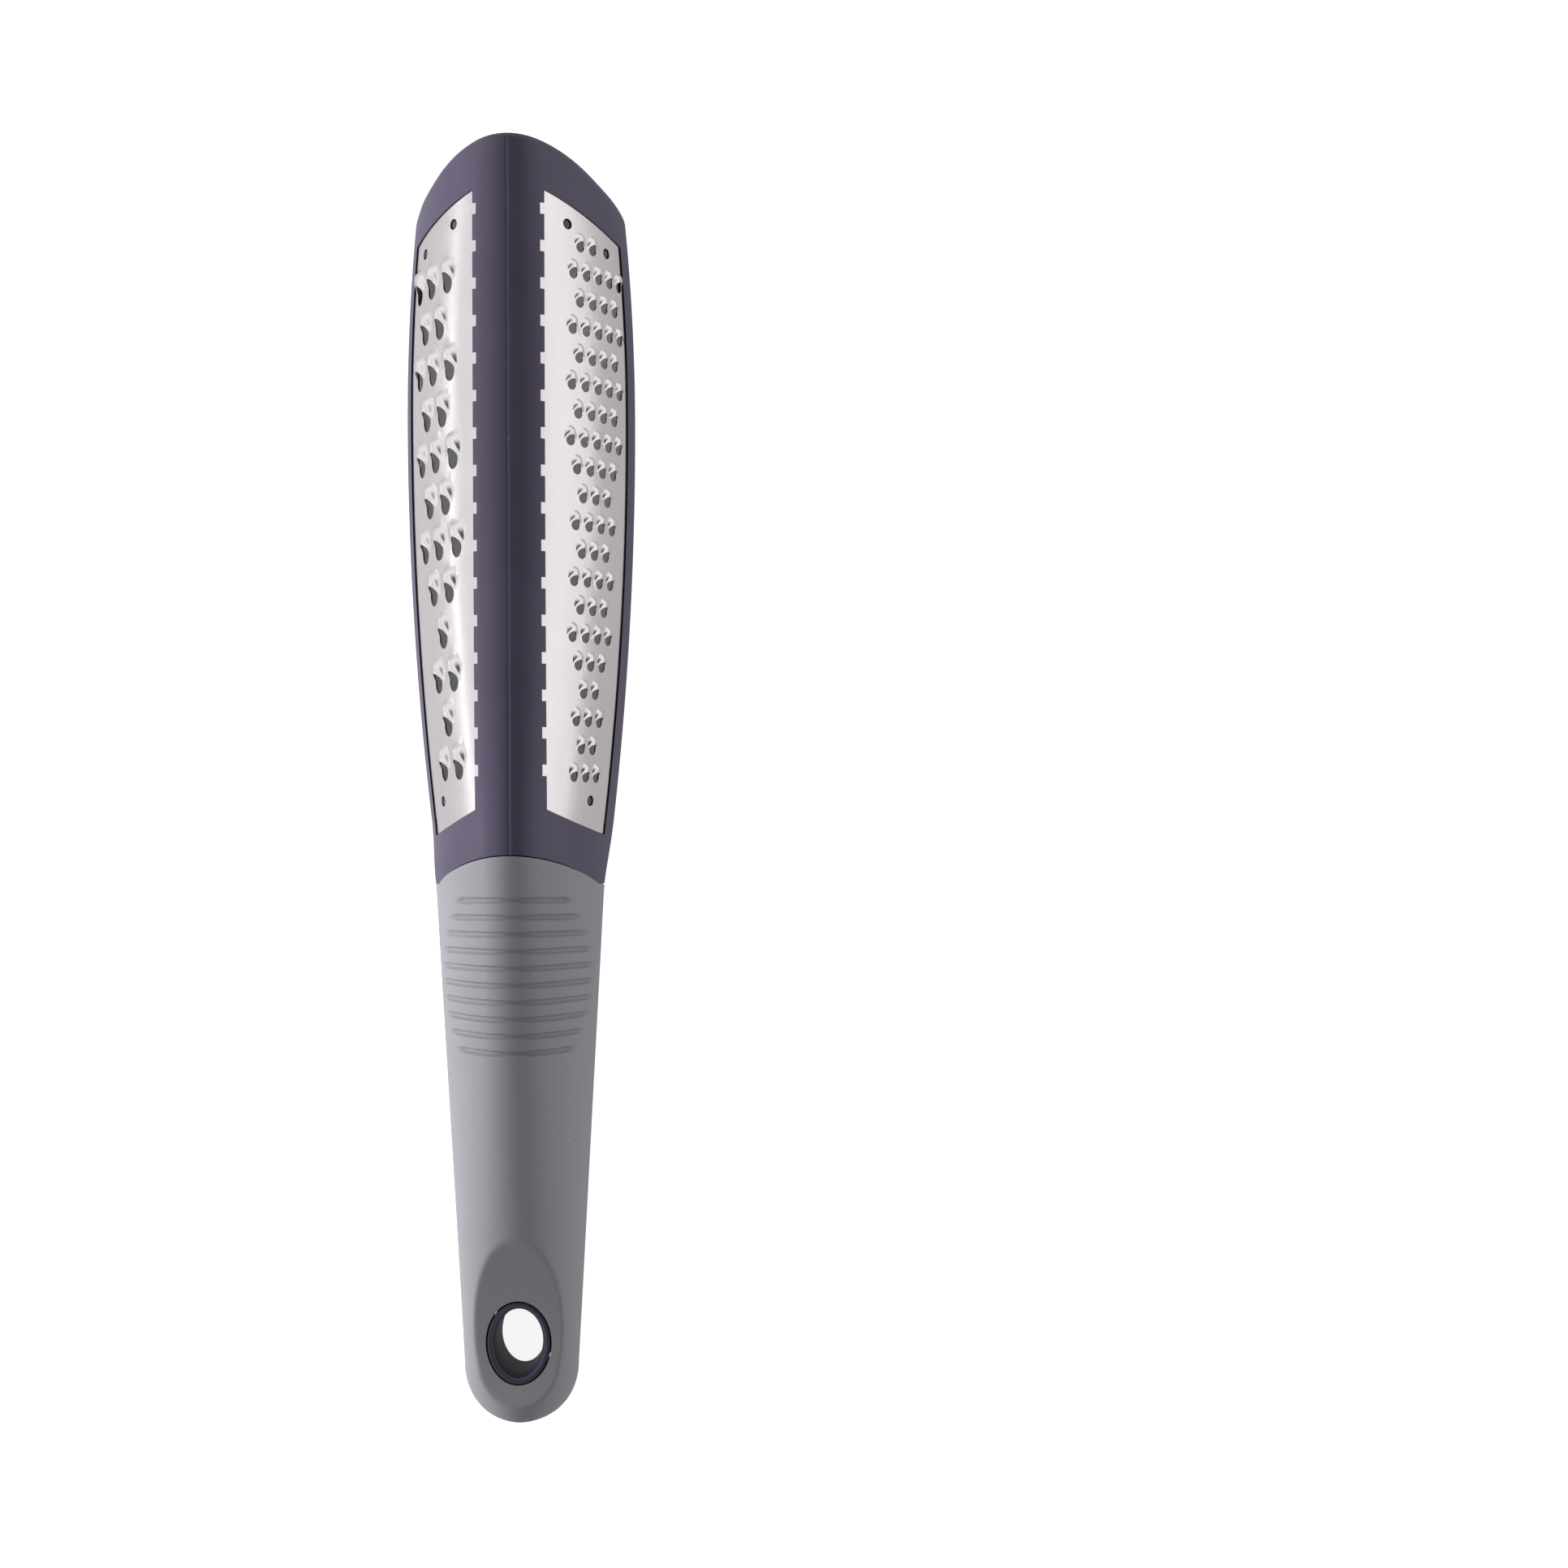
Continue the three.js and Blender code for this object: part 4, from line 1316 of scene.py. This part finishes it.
def outside_head(tree):
    """Mask of the table that is low under the open back of the head."""
    x, y, _ = parts(tree, node(tree, "ShaderNodeTexCoord").outputs["Object"])
    behind = y * -1 + SHADE_ENDS[0]
    wide = (behind * -SHADE_TAPER + SHADE_NECK_HALF_WIDTH).step("MINIMUM", SHADE_HALF_WIDTH)
    aside = x.step("ABSOLUTE") - wide
    out = aside.step("MAXIMUM", behind.step("MAXIMUM", y - SHADE_ENDS[1]))
    return out.step("DIVIDE", SHADE_EDGE, clamp=True).step("MAXIMUM", SHADE_GLOW)


def white_floor():
    material, tree, shader = new_material("white_table")
    path = node(tree, "ShaderNodeLightPath").outputs
    seen = (Sum(tree, path["Is Glossy Ray"]) * MIRRORED_GLOW).step("MAXIMUM", path["Is Camera Ray"])
    feed(tree, shader, {
        "Base Color": FLOOR_COLOUR,
        "Roughness": FLOOR_ROUGHNESS,
        "Specular IOR Level": 0.0,
        "Emission Color": (1, 1, 1, 1),
        "Emission Strength": seen * outside_head(tree) * FLOOR_GLOW,
    })
    mesh = bpy.data.meshes.new("table")
    signs = [(-1, -1), (1, -1), (1, 1), (-1, 1)]
    mesh.from_pydata([(x * FLOOR_HALF, y * FLOOR_HALF, 0) for x, y in signs], [], [(0, 1, 2, 3)])
    table = placed("table", mesh)
    table.data.materials.append(material)


white_floor()
print("table in m:", 2 * FLOOR_HALF, "wide")

# %% [markdown]
# ## Light and camera
# A large soft light stands low on the left and a weaker one on the right. Mirrors see a bright band of
# sky round a dark middle overhead, so the ridge stays deep and the flanks shine; all else gets a dim even
# fill. The camera looks straight down from a little to the right, as in the photograph.

# %% Sky
SKY_LEVELS = [
    (0.0, 0.98), (0.12, 1.08), (0.25, 1.16), (0.5, 1.28), (0.72, 1.1), (0.84, 0.8), (0.94, 0.15), (0.99, 0.05)
]
SKY_LEAN = math.radians(10)
SKY_FILL = 0.34


def seen_directly(tree):
    """Mask of camera, mirror and glass rays."""
    path = node(tree, "ShaderNodeLightPath").outputs
    shiny = Sum(tree, path["Is Glossy Ray"]).step("MAXIMUM", path["Is Transmission Ray"])
    return shiny.step("MAXIMUM", path["Is Camera Ray"])


def studio_world():
    """Sky levels by height for rays that see it directly, and the fill for all others."""
    world = bpy.data.worlds.new("studio")
    bpy.context.scene.world = world
    world.use_nodes = True
    tree = world.node_tree
    tree.nodes.clear()
    ray = node(tree, "ShaderNodeTexCoord").outputs["Generated"]
    overhead = (math.sin(SKY_LEAN), 0, math.cos(SKY_LEAN))
    height = node(tree, "ShaderNodeVectorMath", {0: ray, 1: overhead}, operation="DOT_PRODUCT")
    ramp = node(tree, "ShaderNodeValToRGB", {"Fac": height.outputs["Value"]})
    sky = ramp.color_ramp
    sky.interpolation = "EASE"
    sky.elements.remove(sky.elements[0])
    for place, level in SKY_LEVELS:
        sky.elements.new(place).color = (level, level, level, 1)
    sky.elements.remove(sky.elements[-1])
    levels = {"Factor": seen_directly(tree), "A": SKY_FILL, "B": ramp.outputs["Color"]}
    strength = node(tree, "ShaderNodeMix", levels).outputs["Result"]
    background = node(tree, "ShaderNodeBackground", {"Strength": strength}).outputs["Background"]
    node(tree, "ShaderNodeOutputWorld", {"Surface": background})


studio_world()
print("levels of the sky:", len(SKY_LEVELS))

# %% Lamps
LAMP_ASIDE = 0.8
LAMP_UP = 0.12
LAMP_LENGTH = 0.7
LAMP_HEIGHT = 0.25
LEFT_POWER = 14.0
RIGHT_POWER = 4.3


def soft_lamp(name, aside, power):
    """Large soft rectangle that faces the middle of the grater."""
    light = bpy.data.lights.new(name, "AREA")
    light.energy = power
    light.shape = "RECTANGLE"
    light.size = LAMP_LENGTH
    light.size_y = LAMP_HEIGHT
    lamp = placed(name, light)
    place = Vector((aside, 0.0, LAMP_UP))
    lamp.location = place
    lamp.rotation_euler = (-place).to_track_quat("-Z", "Y").to_euler()
    lamp.visible_glossy = False


soft_lamp("left_softbox", -LAMP_ASIDE, LEFT_POWER)
soft_lamp("right_softbox", LAMP_ASIDE, RIGHT_POWER)
print("lamps in watts:", LEFT_POWER, "and", RIGHT_POWER)

# %% Camera
LENS = 49.6
CAMERA_AT = (0.0599, 0.0007, 0.4965)
CAMERA_ROLL = math.radians(-0.22)
CLIP_START = 0.01

camera_data = bpy.data.cameras.new("camera")
camera_data.lens = LENS
camera_data.clip_start = CLIP_START
camera = placed("camera", camera_data)
camera.location = CAMERA_AT
camera.rotation_euler = (0, 0, CAMERA_ROLL)
bpy.context.scene.camera = camera
bpy.context.scene.view_settings.view_transform = "Standard"
print("camera looks straight down from", CAMERA_AT)
